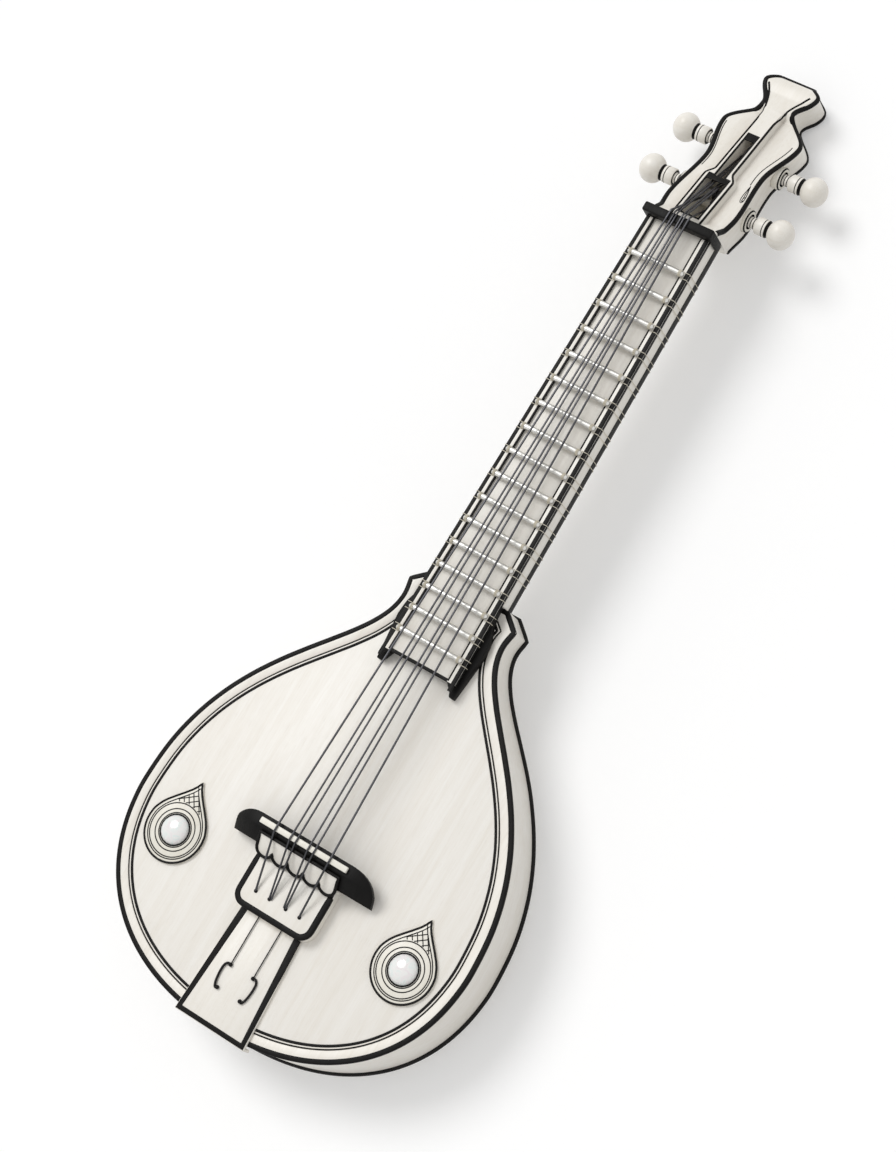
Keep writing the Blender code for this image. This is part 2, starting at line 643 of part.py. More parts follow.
def build_tail(pale, iron, group):
    """String holder, the scalloped apron on it, the tail plate and its two hooked wires."""
    half = HOLDER_WIDTH / 2
    centre = Vector((half - HOLDER_CORNER, HOLDER_CORNER - HOLDER_END))
    right = []
    for step in range(CURVE_STEPS + 1):
        turn = math.radians(90) * (step / CURVE_STEPS - 1)
        right.append(tuple(centre + HOLDER_CORNER * Vector((math.cos(turn), math.sin(turn)))))
    right.append((half, -HOLDER_START))
    left = [(-x, y) for x, y in reversed(right)]
    flat_piece("string_holder", [right + left], ON_TOP, HOLDER_TOP, pale, group)

    hem = TAB_ROUND - APRON_LENGTH
    tab = APRON_WIDTH / TAB_COUNT
    outline = [(APRON_WIDTH / 2, 0.0), (-APRON_WIDTH / 2, 0.0)]
    for number in range(TAB_COUNT):
        middle = (number + 0.5) * tab - APRON_WIDTH / 2
        first_step = 0 if number == 0 else 1
        for step in range(first_step, CURVE_STEPS + 1):
            turn = math.pi * step / CURVE_STEPS
            outline.append((middle - tab / 2 * math.cos(turn), hem - TAB_ROUND * math.sin(turn)))
    rise = APRON_THICKNESS / 2
    apron = flat_piece("tail_apron", [outline], -rise, rise, pale, group)
    slope = math.radians(BRIDGE_SLOPE)
    on_brim = Vector((0, -APRON_START, ON_TOP + bridge_top_height(0.0, -APRON_START)))
    apron.location = on_brim + Vector((0, -math.sin(slope), math.cos(slope))) * (FIT_GAP + rise)
    apron.rotation_euler.x = slope

    plate_start = -HOLDER_END - FIT_GAP
    inner = -BODY_TAIL - FIT_GAP
    outer = inner - PLATE_THICKNESS
    profile = [
        (plate_start, ON_TOP, PLATE_WIDTH_TOP), (plate_start, PLATE_TOP, PLATE_WIDTH_TOP),
        (outer, PLATE_TOP, PLATE_WIDTH_END), (outer, PLATE_TOP - PLATE_LIP, PLATE_WIDTH_END),
        (inner, PLATE_TOP - PLATE_LIP, PLATE_WIDTH_END), (inner, ON_TOP, PLATE_WIDTH_END),
    ]
    edges = [[(side * width / 2, y, z) for y, z, width in profile] for side in (-1, 1)]
    lofted("tail_plate", edges, pale, group)

    height = PLATE_TOP + FIT_GAP + WIRE_DIAMETER / 2
    for name, side in (("tail_wire_left", -1), ("tail_wire_right", 1)):
        x = side * WIRE_SPACING / 2
        bend = HOOK_MARGIN + HOOK_LENGTH - BODY_TAIL
        route = [(x, plate_start, height), (x, bend, height)]
        for step in range(1, HOOK_STEPS + 1):
            share = step / HOOK_STEPS
            swing = HOOK_SWING * math.sin(2 * math.pi * share)
            route.append((x + side * swing, bend - HOOK_LENGTH * share, height))
        tube(name, route, WIRE_DIAMETER, iron, group)


def head_top(place):
    """Height of the spine's face at a distance from the head's lower end."""
    if place > SCROLL_CENTRE:
        share = (place - SCROLL_CENTRE) / SCROLL_RADIUS
        return SCROLL_RADIUS * (1 + (1 - share ** SCROLL_SQUARE) ** (1 / SCROLL_SQUARE))
    return BOARD_FACE + (2 * SCROLL_RADIUS - BOARD_FACE) * place / SCROLL_CENTRE


def head_back(place):
    """Height of the head's underside at a distance from the head's lower end."""
    if place > SCROLL_CENTRE:
        return SCROLL_RADIUS - math.sqrt(SCROLL_RADIUS ** 2 - (place - SCROLL_CENTRE) ** 2)
    return NECK_BACK * (1 - place / SCROLL_CENTRE)


def head_section(place):
    """Section of the head: a raised spine between two lower cheeks, over a rounded back."""
    top = head_top(place)
    back = head_back(place)
    scroll = tuple((HEAD_LENGTH + offset, half) for offset, half in SCROLL_WIDTHS)
    half = eased(HEAD_LOBES + scroll, place)
    cheeks_end = HEAD_LENGTH + SCROLL_WIDTHS[0][0]
    step_knots = (
        (0.0, 0.0), (CHEEK_EASE, CHEEK_STEP),
        (cheeks_end - CHEEK_EASE, CHEEK_STEP), (cheeks_end, 0.0),
    )
    step = eased(step_knots, place)
    round_top = min(HEAD_ROUND_TOP, (top - back) / 4)
    round_back = min(HEAD_ROUND_BACK, (top - back) / 4)
    spine = min(eased(SPINE_WIDTHS, place), half - round_top - 2 * SPINE_SLOPE)
    cheek = top - step
    right = [
        (half - round_back, back), (half, back + round_back), (half, cheek - round_top),
        (half - round_top, cheek), (spine + SPINE_SLOPE, cheek), (spine, top),
    ]
    left = [(-x, z) for x, z in reversed(right)]
    return [(x, HEAD_START + place, z) for x, z in right + left]


def peg_height(place):
    """Height of a peg's axis: the middle of the cheek that it goes through."""
    return (head_top(place) - CHEEK_STEP + head_back(place)) / 2


def slot_cutter(name, start, end, width, group):
    """Cutter for one stretch of the string slot, whose floor follows the head's back."""
    sections = []
    for place in (start, end):
        floor = head_back(place) + SLOT_FLOOR
        over = head_top(place) + SLOT_FLOOR
        corners = [(-1, floor), (1, floor), (1, over), (-1, over)]
        sections.append([(side * width / 2, HEAD_START + place, z) for side, z in corners])
    return as_cutter(lofted(name, sections, None, group))


def peg_profile(slot):
    """Profile of a peg along its axis, from the knob's end to the tip."""
    stem = PEG_SEAT + BUSH_FLANGE + FIT_GAP
    collar = stem + PEG_STEM_LENGTH
    knob = collar + PEG_COLLAR_LENGTH
    middle = knob + KNOB_LENGTH / 2
    start = math.asin(PEG_COLLAR_RADIUS / KNOB_RADIUS)
    profile = []
    for step in range(KNOB_STEPS + 1):
        turn = (math.pi - start) * step / KNOB_STEPS
        profile.append((KNOB_RADIUS * math.sin(turn), middle + KNOB_LENGTH / 2 * math.cos(turn)))
    profile += [
        (PEG_COLLAR_RADIUS, collar), (PEG_STEM_RADIUS, collar), (PEG_STEM_RADIUS, stem),
        (PEG_SHAFT_RADIUS, stem), (PEG_TIP_RADIUS, -slot / 2 - PEG_TIP_DEPTH),
        (0.0, -slot / 2 - PEG_TIP_DEPTH),
    ]
    return profile


def bush_profile():
    """Closed profile of a bush: domed flange outside the cheek, sleeve in it."""
    bore = PEG_SHAFT_RADIUS + PEG_PLAY
    seat = PEG_SEAT + FIT_GAP
    return [
        (bore, PEG_SEAT + BUSH_FLANGE), (PEG_COLLAR_RADIUS, PEG_SEAT + BUSH_FLANGE),
        (BUSH_FLANGE_RADIUS, PEG_SEAT + BUSH_FLANGE / 2), (BUSH_FLANGE_RADIUS, seat),
        (BUSH_SLEEVE_RADIUS, seat), (BUSH_SLEEVE_RADIUS, seat - BUSH_SLEEVE), (bore, seat - BUSH_SLEEVE),
    ]


def hole_profile(slot):
    """Profile of the cut for one peg: seat, sleeve hole and blind hole for the tip."""
    spot = BUSH_FLANGE_RADIUS + PEG_PLAY
    sleeve = BUSH_SLEEVE_RADIUS + FIT_GAP
    tip = PEG_SHAFT_RADIUS + PEG_PLAY
    outside = PEG_SEAT + PEG_STEM_LENGTH + BUSH_FLANGE
    blind = -slot / 2 - PEG_TIP_DEPTH - PEG_PLAY
    return [
        (0.0, outside), (spot, outside), (spot, PEG_SEAT), (sleeve, PEG_SEAT),
        (sleeve, 0.0), (tip, 0.0), (tip, blind), (0.0, blind),
    ]


def build_head(pale, bone, group, cutters):
    """Head with its string slot, and the four pegs that turn in their bushes."""
    stations = [SCROLL_CENTRE * step / HEAD_STATIONS for step in range(HEAD_STATIONS)]
    for step in range(CURVE_STEPS + 1):
        turn = math.radians(90) * step / CURVE_STEPS
        stations.append(SCROLL_CENTRE + SCROLL_RADIUS * SCROLL_CUT * math.sin(turn))
    head = lofted("headstock", [head_section(place) for place in stations], pale, group)
    cuts = [
        slot_cutter("cut_slot_wide", SLOT_START, SLOT_STEP, SLOT_WIDE, cutters),
        slot_cutter("cut_slot_narrow", SLOT_STEP - SLOT_FLOOR, SLOT_END, SLOT_NARROW, cutters),
    ]
    for name, (side, place, slot) in PEGS.items():
        axis = (0.0, HEAD_START + place, peg_height(place))
        turn = (0.0, side * math.radians(90), 0.0)
        hole = as_cutter(turned(f"cut_{name}", hole_profile(slot), None, cutters))
        bush = turned(f"peg_bush_{name}", bush_profile(), bone, group, closed=True)
        peg = turned(f"peg_{name}", peg_profile(slot), pale, group)
        for piece in (hole, bush, peg):
            piece.location = axis
            piece.rotation_euler = turn
        cuts.append(hole)
    for cutter in cuts:
        cut = head.modifiers.new(cutter.name, 'BOOLEAN')
        cut.operation = 'DIFFERENCE'
        cut.solver = 'EXACT'
        cut.object = cutter


def string_route(course, strand):
    """Points of one string: its end on the holder, bridge, nut and peg."""
    from_middle = course - (COURSE_COUNT - 1) / 2
    side = math.copysign(1, from_middle)
    outer = course in (0, COURSE_COUNT - 1)
    crossing = from_middle * COURSE_SPACING + strand * PAIR_BRIDGE / 2
    anchor = from_middle * ANCHOR_SPACING + strand * PAIR_ANCHOR / 2
    over_nut = side * (NUT_SPACING_OUTER if outer else NUT_SPACING_INNER) + strand * PAIR_NUT / 2
    row = "lower" if outer else "upper"
    hand = "left" if side < 0 else "right"
    _, place, slot = PEGS[f"{row}_{hand}"]
    at_peg = side * slot / 4 + strand * PAIR_PEG / 2
    on_shaft = peg_height(place) + PEG_SHAFT_RADIUS + STRING_SEAT
    return [
        (anchor, -HOLDER_START - ANCHOR_BACK, HOLDER_TOP + STRING_SEAT),
        (crossing, -STRIP_DEPTH / 2, CREST + STRING_SEAT),
        (crossing, STRIP_DEPTH / 2, CREST + STRING_SEAT),
        (over_nut, SCALE_LENGTH - NUT_THICKNESS / 2, STRING_AT_NUT),
        (over_nut, NECK_END + STRING_DIAMETER / 2, STRING_AT_NUT),
        (at_peg, HEAD_START + place, on_shaft),
    ]


def build_strings(finish, group):
    """Two single strings outside and two doubled courses between them."""
    number = 0
    for course in range(COURSE_COUNT):
        strands = (0,) if course in (0, COURSE_COUNT - 1) else (-1, 1)
        for strand in strands:
            number += 1
            tube(f"string_{number}", string_route(course, strand), STRING_DIAMETER, finish, group, 1)


def rosette_outline(side):
    """Drop-shaped outline that points to the head, round its own middle."""
    x = side * ROSETTE_SIDE
    y = -ROSETTE_BACK
    opening = math.radians(ROSETTE_OPEN)
    loop = []
    for step in range(ROUND_STEPS + 1):
        turn = math.pi - opening + (math.pi + 2 * opening) * step / ROUND_STEPS
        loop.append(Vector((ROSETTE_RADIUS * math.cos(turn), ROSETTE_RADIUS * math.sin(turn), 0)))
    tip = Vector((0, ROSETTE_TIP, 0))
    leave = Vector((-math.sin(opening), math.cos(opening), 0)) * ROSETTE_TIP_HANDLE
    arrive = Vector((math.sin(opening), -math.cos(opening), 0)) * ROSETTE_TIP_HANDLE
    rise = interpolate_bezier(loop[-1], loop[-1] + leave, tip + arrive, tip, CURVE_STEPS)[1:]
    fall = [Vector((-point.x, point.y, 0)) for point in reversed(rise[:-1])]
    return [(x + point.x, y + point.y) for point in loop + rise + fall]


def build_rosettes(pale, pearl, group):
    """Two drop-shaped rosettes with a domed boss on each."""
    profile = [(0.0, BOSS_HEIGHT)]
    for step in range(1, CURVE_STEPS + 1):
        turn = math.radians(90) * step / CURVE_STEPS
        profile.append((BOSS_RADIUS * math.sin(turn), BOSS_HEIGHT * math.cos(turn)))
    profile.append((0.0, 0.0))
    plate_top = ON_TOP + ROSETTE_THICKNESS
    for hand, side in (("left", -1), ("right", 1)):
        flat_piece(f"rosette_{hand}", [rosette_outline(side)], ON_TOP, plate_top, pale, group)
        boss = turned(f"rosette_boss_{hand}", profile, pearl, group)
        boss.location = (side * ROSETTE_SIDE, -ROSETTE_BACK, plate_top + FIT_GAP)


def main():
    """Clear the scene and build every piece."""
    for stale in list(bpy.data.objects):
        bpy.data.objects.remove(stale, do_unlink=True)
    parts = new_collection("sitar")
    cutters = new_collection("sitar_cutters")
    pale = new_material("pale_wood", (0.80, 0.74, 0.64), 0.45)
    dark = new_material("ebony", (0.02, 0.018, 0.016), 0.35)
    bone = new_material("bone", (0.86, 0.83, 0.74), 0.35)
    pearl = new_material("pearl", (0.85, 0.84, 0.82), 0.2)
    nickel = new_material("nickel_silver", (0.75, 0.74, 0.70), 0.3, 1.0)
    steel = new_material("steel", (0.62, 0.62, 0.62), 0.3, 1.0)
    iron = new_material("black_iron", (0.02, 0.02, 0.02), 0.4, 1.0)
    build_bowl(pale, parts)
    build_top(pale, dark, parts)
    build_neck(pale, dark, parts)
    build_frets(nickel, parts)
    build_bridge(dark, bone, parts)
    build_tail(pale, iron, parts)
    build_head(pale, bone, parts, cutters)
    build_strings(steel, parts)
    build_rosettes(pale, pearl, parts)


main()
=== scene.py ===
# %% [markdown]
# # A sitar in pale wood and ebony
#
# The CAD part gives every solid of the sitar in its true place, in metres: +Y runs along the neck to
# the head, +Z out of the soundboard, and the bridge stands over y = 0. This lesson dresses that frame.
# Each piece is either a finer version of a solid, which then stands for it, or trim that sits on one.
# Nothing is moved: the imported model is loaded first, and most later measures are read from it.

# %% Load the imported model
import json
import math

import bmesh
import bpy
from mathutils import Matrix, Vector

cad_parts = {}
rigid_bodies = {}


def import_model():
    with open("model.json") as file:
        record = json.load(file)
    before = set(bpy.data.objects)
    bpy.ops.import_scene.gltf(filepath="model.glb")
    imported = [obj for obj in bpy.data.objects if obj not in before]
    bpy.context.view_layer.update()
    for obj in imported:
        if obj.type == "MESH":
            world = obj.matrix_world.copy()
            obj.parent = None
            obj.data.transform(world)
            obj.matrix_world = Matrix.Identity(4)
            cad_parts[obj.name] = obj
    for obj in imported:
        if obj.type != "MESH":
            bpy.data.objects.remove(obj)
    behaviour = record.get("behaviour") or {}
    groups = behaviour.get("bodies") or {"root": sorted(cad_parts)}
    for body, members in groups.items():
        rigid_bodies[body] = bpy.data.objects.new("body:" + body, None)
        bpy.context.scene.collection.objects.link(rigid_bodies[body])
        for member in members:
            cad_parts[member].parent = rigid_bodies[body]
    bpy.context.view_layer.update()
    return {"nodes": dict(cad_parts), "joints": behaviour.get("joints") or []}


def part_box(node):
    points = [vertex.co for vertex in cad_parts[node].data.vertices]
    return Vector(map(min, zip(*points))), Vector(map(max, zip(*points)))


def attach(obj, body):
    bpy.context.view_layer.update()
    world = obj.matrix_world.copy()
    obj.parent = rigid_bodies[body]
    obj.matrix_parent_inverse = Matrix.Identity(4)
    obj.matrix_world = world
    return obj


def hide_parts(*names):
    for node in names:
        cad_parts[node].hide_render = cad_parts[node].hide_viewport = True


for leftover in list(bpy.data.objects):
    bpy.data.objects.remove(leftover, do_unlink=True)
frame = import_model()
nodes = frame["nodes"]
scene = bpy.context.scene

# %% [markdown]
# ## Camera
#
# The drawing looks down on a sitar that lies on its back, a little from the right and from the tail, and
# turned so that the neck climbs to the upper right. A long lens keeps the near body from swelling. The
# camera is set from three plain measures: where the eye is, what it aims at, and which way is up.

# %% Camera
EYE = Vector((1.0962, 0.0229, 2.5066))
AIM = Vector((-0.0266, 0.2973, 0.0953))
UPRIGHT = Vector((-0.4265, 0.8548, 0.2957))
LENS = 85


def added(name, data):
    """A new object in the scene."""
    made = bpy.data.objects.new(name, data)
    scene.collection.objects.link(made)
    return made


backward = (EYE - AIM).normalized()
rightward = UPRIGHT.cross(backward).normalized()
turn = Matrix((rightward, backward.cross(rightward), backward)).transposed().to_4x4()
camera = added("camera", bpy.data.cameras.new("camera"))
camera.data.lens = LENS
camera.matrix_world = Matrix.Translation(EYE) @ turn
scene.camera = camera
scene.view_settings.view_transform = "Standard"
print(f"camera: {(EYE - AIM).length:.2f} m away")

# %% [markdown]
# ## Making materials
#
# A material is a small graph of nodes. A few helpers keep the graphs readable: they put in a node and set
# or link its inputs, and open a named shader group, so that an effect which several finishes share, such
# as wood grain, is drawn once and put into each of them with its own values.

# %% Node helpers
def feed(tree, node, inputs):
    """Set or link the inputs of a node."""
    for label, value in inputs.items():
        if isinstance(value, bpy.types.NodeSocket):
            tree.links.new(value, node.inputs[label])
        else:
            node.inputs[label].default_value = value


def put(tree, kind, inputs=None, **settings):
    """Add a node, set its options and inputs, and return its outputs."""
    made = tree.nodes.new(kind)
    for label, value in settings.items():
        setattr(made, label, value)
    feed(tree, made, inputs or {})
    return made.outputs


def arithmetic(tree, operation, first, second):
    """One sum of two values or links."""
    return put(tree, "ShaderNodeMath", {0: first, 1: second}, operation=operation)[0]


def spread(tree, value, low, high, to_low, to_high):
    """Carry a value from one range to another, held inside the second."""
    sizes = {"From Min": low, "From Max": high, "To Min": to_low, "To Max": to_high}
    return put(tree, "ShaderNodeMapRange", {"Value": value, **sizes})["Result"]


def blended(tree, share, first, second):
    """Mix two colours."""
    return put(tree, "ShaderNodeMix", {0: share, 6: first, 7: second}, data_type="RGBA")[2]


def noise(tree, scale, detail, **more):
    """A cloud of values from 0 to 1."""
    return put(tree, "ShaderNodeTexNoise", {"Scale": scale, "Detail": detail, **more})["Fac"]


def open_group(name, takes, gives):
    """A new shader group with named sockets; returns it with its inner ends."""
    group = bpy.data.node_groups.new(name, "ShaderNodeTree")
    kinds = {"value": "NodeSocketFloat", "colour": "NodeSocketColor", "vector": "NodeSocketVector"}
    for label, kind in takes:
        group.interface.new_socket(label, in_out="INPUT", socket_type=kinds[kind])
    for label, kind in gives:
        group.interface.new_socket(label, in_out="OUTPUT", socket_type=kinds[kind])
    return group, group.nodes.new("NodeGroupInput").outputs, group.nodes.new("NodeGroupOutput")


def colour(red, green, blue):
    """A colour as the sockets want it."""
    return (red, green, blue, 1.0)


print("node helpers ready")

# %% [markdown]
# ## Floor and light
#
# The drawing has a white ground. The floor is a white sheet under an even sky and one broad soft lamp
# from the upper left, at a level where a colour comes out about as it is written. What the camera and
# mirror-like metal see of the floor is lifted to white, but the lamp's shadow stays on it.

# %% Floor, sky and lamp
WHITE = colour(1.0, 1.0, 1.0)
SKY, LAMP, FLOOR_LIFT = 0.62, 1.25, 0.22
LAMP_FROM, LAMP_SPREAD = Vector((-0.75, 0.35, 1.25)), math.radians(28)
FLOOR_RADIUS, FLOOR_SPOT = 9.0, Vector((0.0, 0.3, -0.0004))


def seen_directly(tree):
    """1 for rays that the camera, glossy metal or glass sends out, else 0."""
    path = put(tree, "ShaderNodeLightPath")
    seen = arithmetic(tree, "MAXIMUM", path["Is Camera Ray"], path["Is Glossy Ray"])
    return arithmetic(tree, "MAXIMUM", seen, path["Is Transmission Ray"])


def as_mesh(bm, *finishes):
    """A mesh with its finishes from working geometry, which goes away."""
    mesh = bpy.data.meshes.new("work")
    bm.to_mesh(mesh)
    bm.free()
    for finish in finishes:
        mesh.materials.append(finish)
    return mesh


world = bpy.data.worlds.new("studio_sky")
world.use_nodes = True
scene.world = world
tree = world.node_tree
lifted = arithmetic(tree, "MULTIPLY", seen_directly(tree), 1.0 - SKY)
strength = arithmetic(tree, "ADD", lifted, SKY)
feed(tree, tree.nodes["Background"], {"Color": WHITE, "Strength": strength})

paper = bpy.data.materials.new("white_floor")
paper.use_nodes = True
tree = paper.node_tree
white = blended(tree, noise(tree, 40.0, 4.0), colour(0.84, 0.84, 0.84), colour(0.82, 0.82, 0.82))
glow = arithmetic(tree, "MULTIPLY", seen_directly(tree), FLOOR_LIFT)
feed(tree, tree.nodes["Principled BSDF"], {
    "Base Color": white, "Roughness": 0.9, "Specular IOR Level": 0.0,
    "Emission Color": WHITE, "Emission Strength": glow,
})

bm = bmesh.new()
bmesh.ops.create_circle(bm, cap_ends=True, segments=96, radius=FLOOR_RADIUS)
ground = as_mesh(bm, paper)
ground.transform(Matrix.Translation(FLOOR_SPOT))
added("floor", ground)

lamp = added("broad_lamp", bpy.data.lights.new("broad_lamp", "SUN"))
lamp.data.energy = LAMP
lamp.data.angle = LAMP_SPREAD
lamp.matrix_world = LAMP_FROM.to_track_quat("Z", "Y").to_matrix().to_4x4()
print("studio: floor, sky and one lamp")

# %% [markdown]
# ## Shared effects
#
# Wood grain is noise that is drawn out along the neck: broad bands for the growth rings, fine streaks for
# the fibres, short dark pores. Handling wears edges paler, and corners are darkened, partly as grime and
# partly as painted shade in the recesses; the bend of the surface tells both (Cycles calls it pointiness).
# Metal carries hairlines from polishing, which are very thin streaks in its gloss.

# %% Wood grain group
DRAWN_OUT = (1.0, 0.045, 1.0)
FIBRES_FINER, PORES_FINER, PORE_TONE = 6.0, 17.0, 0.3

grain, ends, out = open_group(
    "wood_grain",
    (("Vector", "vector"), ("Light", "colour"), ("Dark", "colour"), ("Fineness", "value")),
    (("Color", "colour"), ("Gloss", "value"), ("Height", "value")),
)
along = put(grain, "ShaderNodeVectorMath", {0: ends["Vector"], 1: DRAWN_OUT}, operation="MULTIPLY")["Vector"]
bands = noise(grain, ends["Fineness"], 3.0, Vector=along, Distortion=0.6)
fibre_scale = arithmetic(grain, "MULTIPLY", ends["Fineness"], FIBRES_FINER)
fibres = noise(grain, fibre_scale, 5.0, Vector=along, Roughness=0.65)
pore_scale = arithmetic(grain, "MULTIPLY", ends["Fineness"], PORES_FINER)
pores = spread(grain, noise(grain, pore_scale, 1.0, Vector=along), 0.6, 0.75, 0.0, 1.0)
rings = spread(grain, bands, 0.32, 0.68, 0.0, 0.5)
streaks = spread(grain, fibres, 0.35, 0.7, 0.0, 0.4)
tone = arithmetic(grain, "ADD", rings, streaks)
tone = arithmetic(grain, "ADD", tone, arithmetic(grain, "MULTIPLY", pores, PORE_TONE))
feed(grain, out, {
    "Color": blended(grain, tone, ends["Light"], ends["Dark"]),
    "Gloss": spread(grain, fibres, 0.3, 0.7, 0.36, 0.5),
    "Height": arithmetic(grain, "SUBTRACT", fibres, pores),
})
print("effect: wood grain")

# %% Wear, corner shade and hairline groups
wear_and_shade_group, ends, out = open_group(
    "wear_and_shade", (("Color", "colour"), ("Worn", "colour"), ("Grime and shade", "colour"), ("Amount", "value")),
    (("Color", "colour"),),
)
bend = put(wear_and_shade_group, "ShaderNodeNewGeometry")["Pointiness"]
patches = spread(wear_and_shade_group, noise(wear_and_shade_group, 30.0, 3.0), 0.35, 0.65, 0.3, 1.0)
edge = arithmetic(wear_and_shade_group, "MULTIPLY", spread(wear_and_shade_group, bend, 0.52, 0.6, 0.0, 1.0), ends["Amount"])
edge = arithmetic(wear_and_shade_group, "MULTIPLY", edge, patches)
# Concave corners are darkened: partly grime, partly painted shade in the recesses.
corner = arithmetic(wear_and_shade_group, "MULTIPLY", spread(wear_and_shade_group, bend, 0.48, 0.4, 0.0, 1.0), ends["Amount"])
corner_grime_and_shade = blended(wear_and_shade_group, corner, ends["Color"], ends["Grime and shade"])
feed(wear_and_shade_group, out, {"Color": blended(wear_and_shade_group, edge, corner_grime_and_shade, ends["Worn"])})

hairlines, ends, out = open_group(
    "hairlines", (("Vector", "vector"), ("Fineness", "value"), ("Smooth", "value"), ("Dull", "value")),
    (("Gloss", "value"), ("Height", "value")),
)
scratch = noise(hairlines, ends["Fineness"], 6.0, Vector=ends["Vector"])
gloss = spread(hairlines, scratch, 0.3, 0.7, ends["Smooth"], ends["Dull"])
feed(hairlines, out, {"Gloss": gloss, "Height": scratch})
print("effects: handling, hairlines")

# %% [markdown]
# ## Finishes
#
# The drawing is black on white, so the sitar is made of what instrument makers use in those tones: bleached
# pale wood for body, neck and head, ebony for bridge, nut and stringing, bone and mother-of-pearl for
# small inlay, nickel silver for the frets, dark steel for strings and blackened iron for the tail hooks.

# %% Wood, bone and ebony
GRAIN_DEPTH = 0.00012


def start_finish(name):
    """A new material, its tree, its Principled shader and the piece's own coordinates."""
    finish = bpy.data.materials.new(name)
    finish.use_nodes = True
    tree = finish.node_tree
    return finish, tree, tree.nodes["Principled BSDF"], put(tree, "ShaderNodeTexCoord")["Object"]


def raised(tree, height, depth):
    """A small bump on the surface from a height."""
    return put(tree, "ShaderNodeBump", {"Height": height, "Distance": depth, "Strength": 0.6})["Normal"]


def grained(name, light, dark, worn, grime_and_shade, fineness, wear_and_shade, coat=0.0, turn=0.0, shine=0.5):
    """A finish with grain along the neck, paler worn edges, and corners darkened by grime and painted shade.
    """
    finish, tree, shader, spot = start_finish(name)
    lie = (0.0, 0.0, math.radians(turn))
    turned = put(tree, "ShaderNodeMapping", {"Vector": spot, "Rotation": lie})["Vector"]
    wood = put(tree, "ShaderNodeGroup", {
        "Vector": turned, "Light": colour(*light), "Dark": colour(*dark), "Fineness": fineness,
    }, node_tree=grain)
    touched = put(tree, "ShaderNodeGroup", {
        "Color": wood["Color"], "Worn": colour(*worn), "Grime and shade": colour(*grime_and_shade), "Amount": wear_and_shade,
    }, node_tree=wear_and_shade_group)
    feed(tree, shader, {
        "Base Color": touched["Color"], "Roughness": wood["Gloss"], "Specular IOR Level": shine,
        "Coat Weight": coat, "Coat Roughness": 0.25, "Normal": raised(tree, wood["Height"], GRAIN_DEPTH),
    })
    return finish


PALE = {"light": (0.89, 0.86, 0.80), "dark": (0.785, 0.735, 0.65), "worn": (0.90, 0.875, 0.825)}
# This colour darkens concave corners: partly grime, partly painted shade in the recesses.
GRIME_AND_SHADE = (0.30, 0.24, 0.18)
pale_wood = grained("bleached_wood", **PALE, grime_and_shade=GRIME_AND_SHADE, fineness=42.0, wear_and_shade=0.6, coat=0.15)
peg_wood = grained("bleached_peg_wood", **PALE, grime_and_shade=GRIME_AND_SHADE, fineness=70.0, wear_and_shade=0.6, coat=0.3, turn=90)
# The string slot's long faces have too few points to tell their bend by: no worn edges, no painted shade.
slot_wood = grained("slot_wood", **PALE, grime_and_shade=(0.6, 0.55, 0.48), fineness=42.0, wear_and_shade=0.0)
top_wood = grained(
    "soundboard_wood", light=(0.905, 0.88, 0.83), dark=(0.82, 0.775, 0.70), worn=(0.89, 0.86, 0.80),
    grime_and_shade=(0.5, 0.43, 0.34), fineness=95.0, wear_and_shade=0.3, coat=0.12,
)
ebony = grained(
    "ebony_finish", light=(0.008, 0.0075, 0.007), dark=(0.003, 0.0028, 0.0028), worn=(0.02, 0.019, 0.018),
    grime_and_shade=(0.003, 0.003, 0.003), fineness=120.0, wear_and_shade=0.6, shine=0.10,
)
bone = grained(
    "bone_finish", light=(0.87, 0.845, 0.77), dark=(0.79, 0.75, 0.64), worn=(0.91, 0.89, 0.84),
    grime_and_shade=(0.42, 0.35, 0.25), fineness=160.0, wear_and_shade=0.5, coat=0.2,
)
silk = grained(
    "silk_thread", light=(0.74, 0.69, 0.56), dark=(0.5, 0.44, 0.33), worn=(0.8, 0.76, 0.66),
    grime_and_shade=(0.3, 0.25, 0.18), fineness=900.0, wear_and_shade=0.4,
)
print("finishes: pale wood, soundboard, ebony, bone, silk")

# %% Metals and pearl
def polished(name, base, tint, metal, gloss, fineness, stretch, depth):
    """A metal with hairlines drawn out along one direction and a faint cloudy tint."""
    finish, tree, shader, spot = start_finish(name)
    drawn = put(tree, "ShaderNodeMapping", {"Vector": spot, "Scale": stretch})["Vector"]
    lines = put(tree, "ShaderNodeGroup", {
        "Vector": drawn, "Fineness": fineness, "Smooth": gloss[0], "Dull": gloss[1],
    }, node_tree=hairlines)
    cloud = noise(tree, 55.0, 4.0, Vector=spot)
    feed(tree, shader, {
        "Base Color": blended(tree, cloud, colour(*base), colour(*tint)), "Metallic": metal,
        "Roughness": lines["Gloss"], "Normal": raised(tree, lines["Height"], depth),
    })
    return finish


nickel_silver = polished(
    "fret_metal", base=(0.72, 0.71, 0.68), tint=(0.58, 0.57, 0.54), metal=1.0, gloss=(0.36, 0.44),
    fineness=300.0, stretch=(0.04, 1.0, 1.0), depth=0.000001,
)
steel = polished(
    "string_steel", base=(0.085, 0.085, 0.09), tint=(0.045, 0.045, 0.05), metal=1.0, gloss=(0.25, 0.45),
    fineness=2500.0, stretch=(1.0, 0.3, 1.0), depth=0.00002,
)
black_iron = polished(
    "blackened_iron", base=(0.010, 0.010, 0.011), tint=(0.022, 0.020, 0.019), metal=0.9, gloss=(0.35, 0.6),
    fineness=600.0, stretch=(1.0, 1.0, 1.0), depth=0.0001,
)

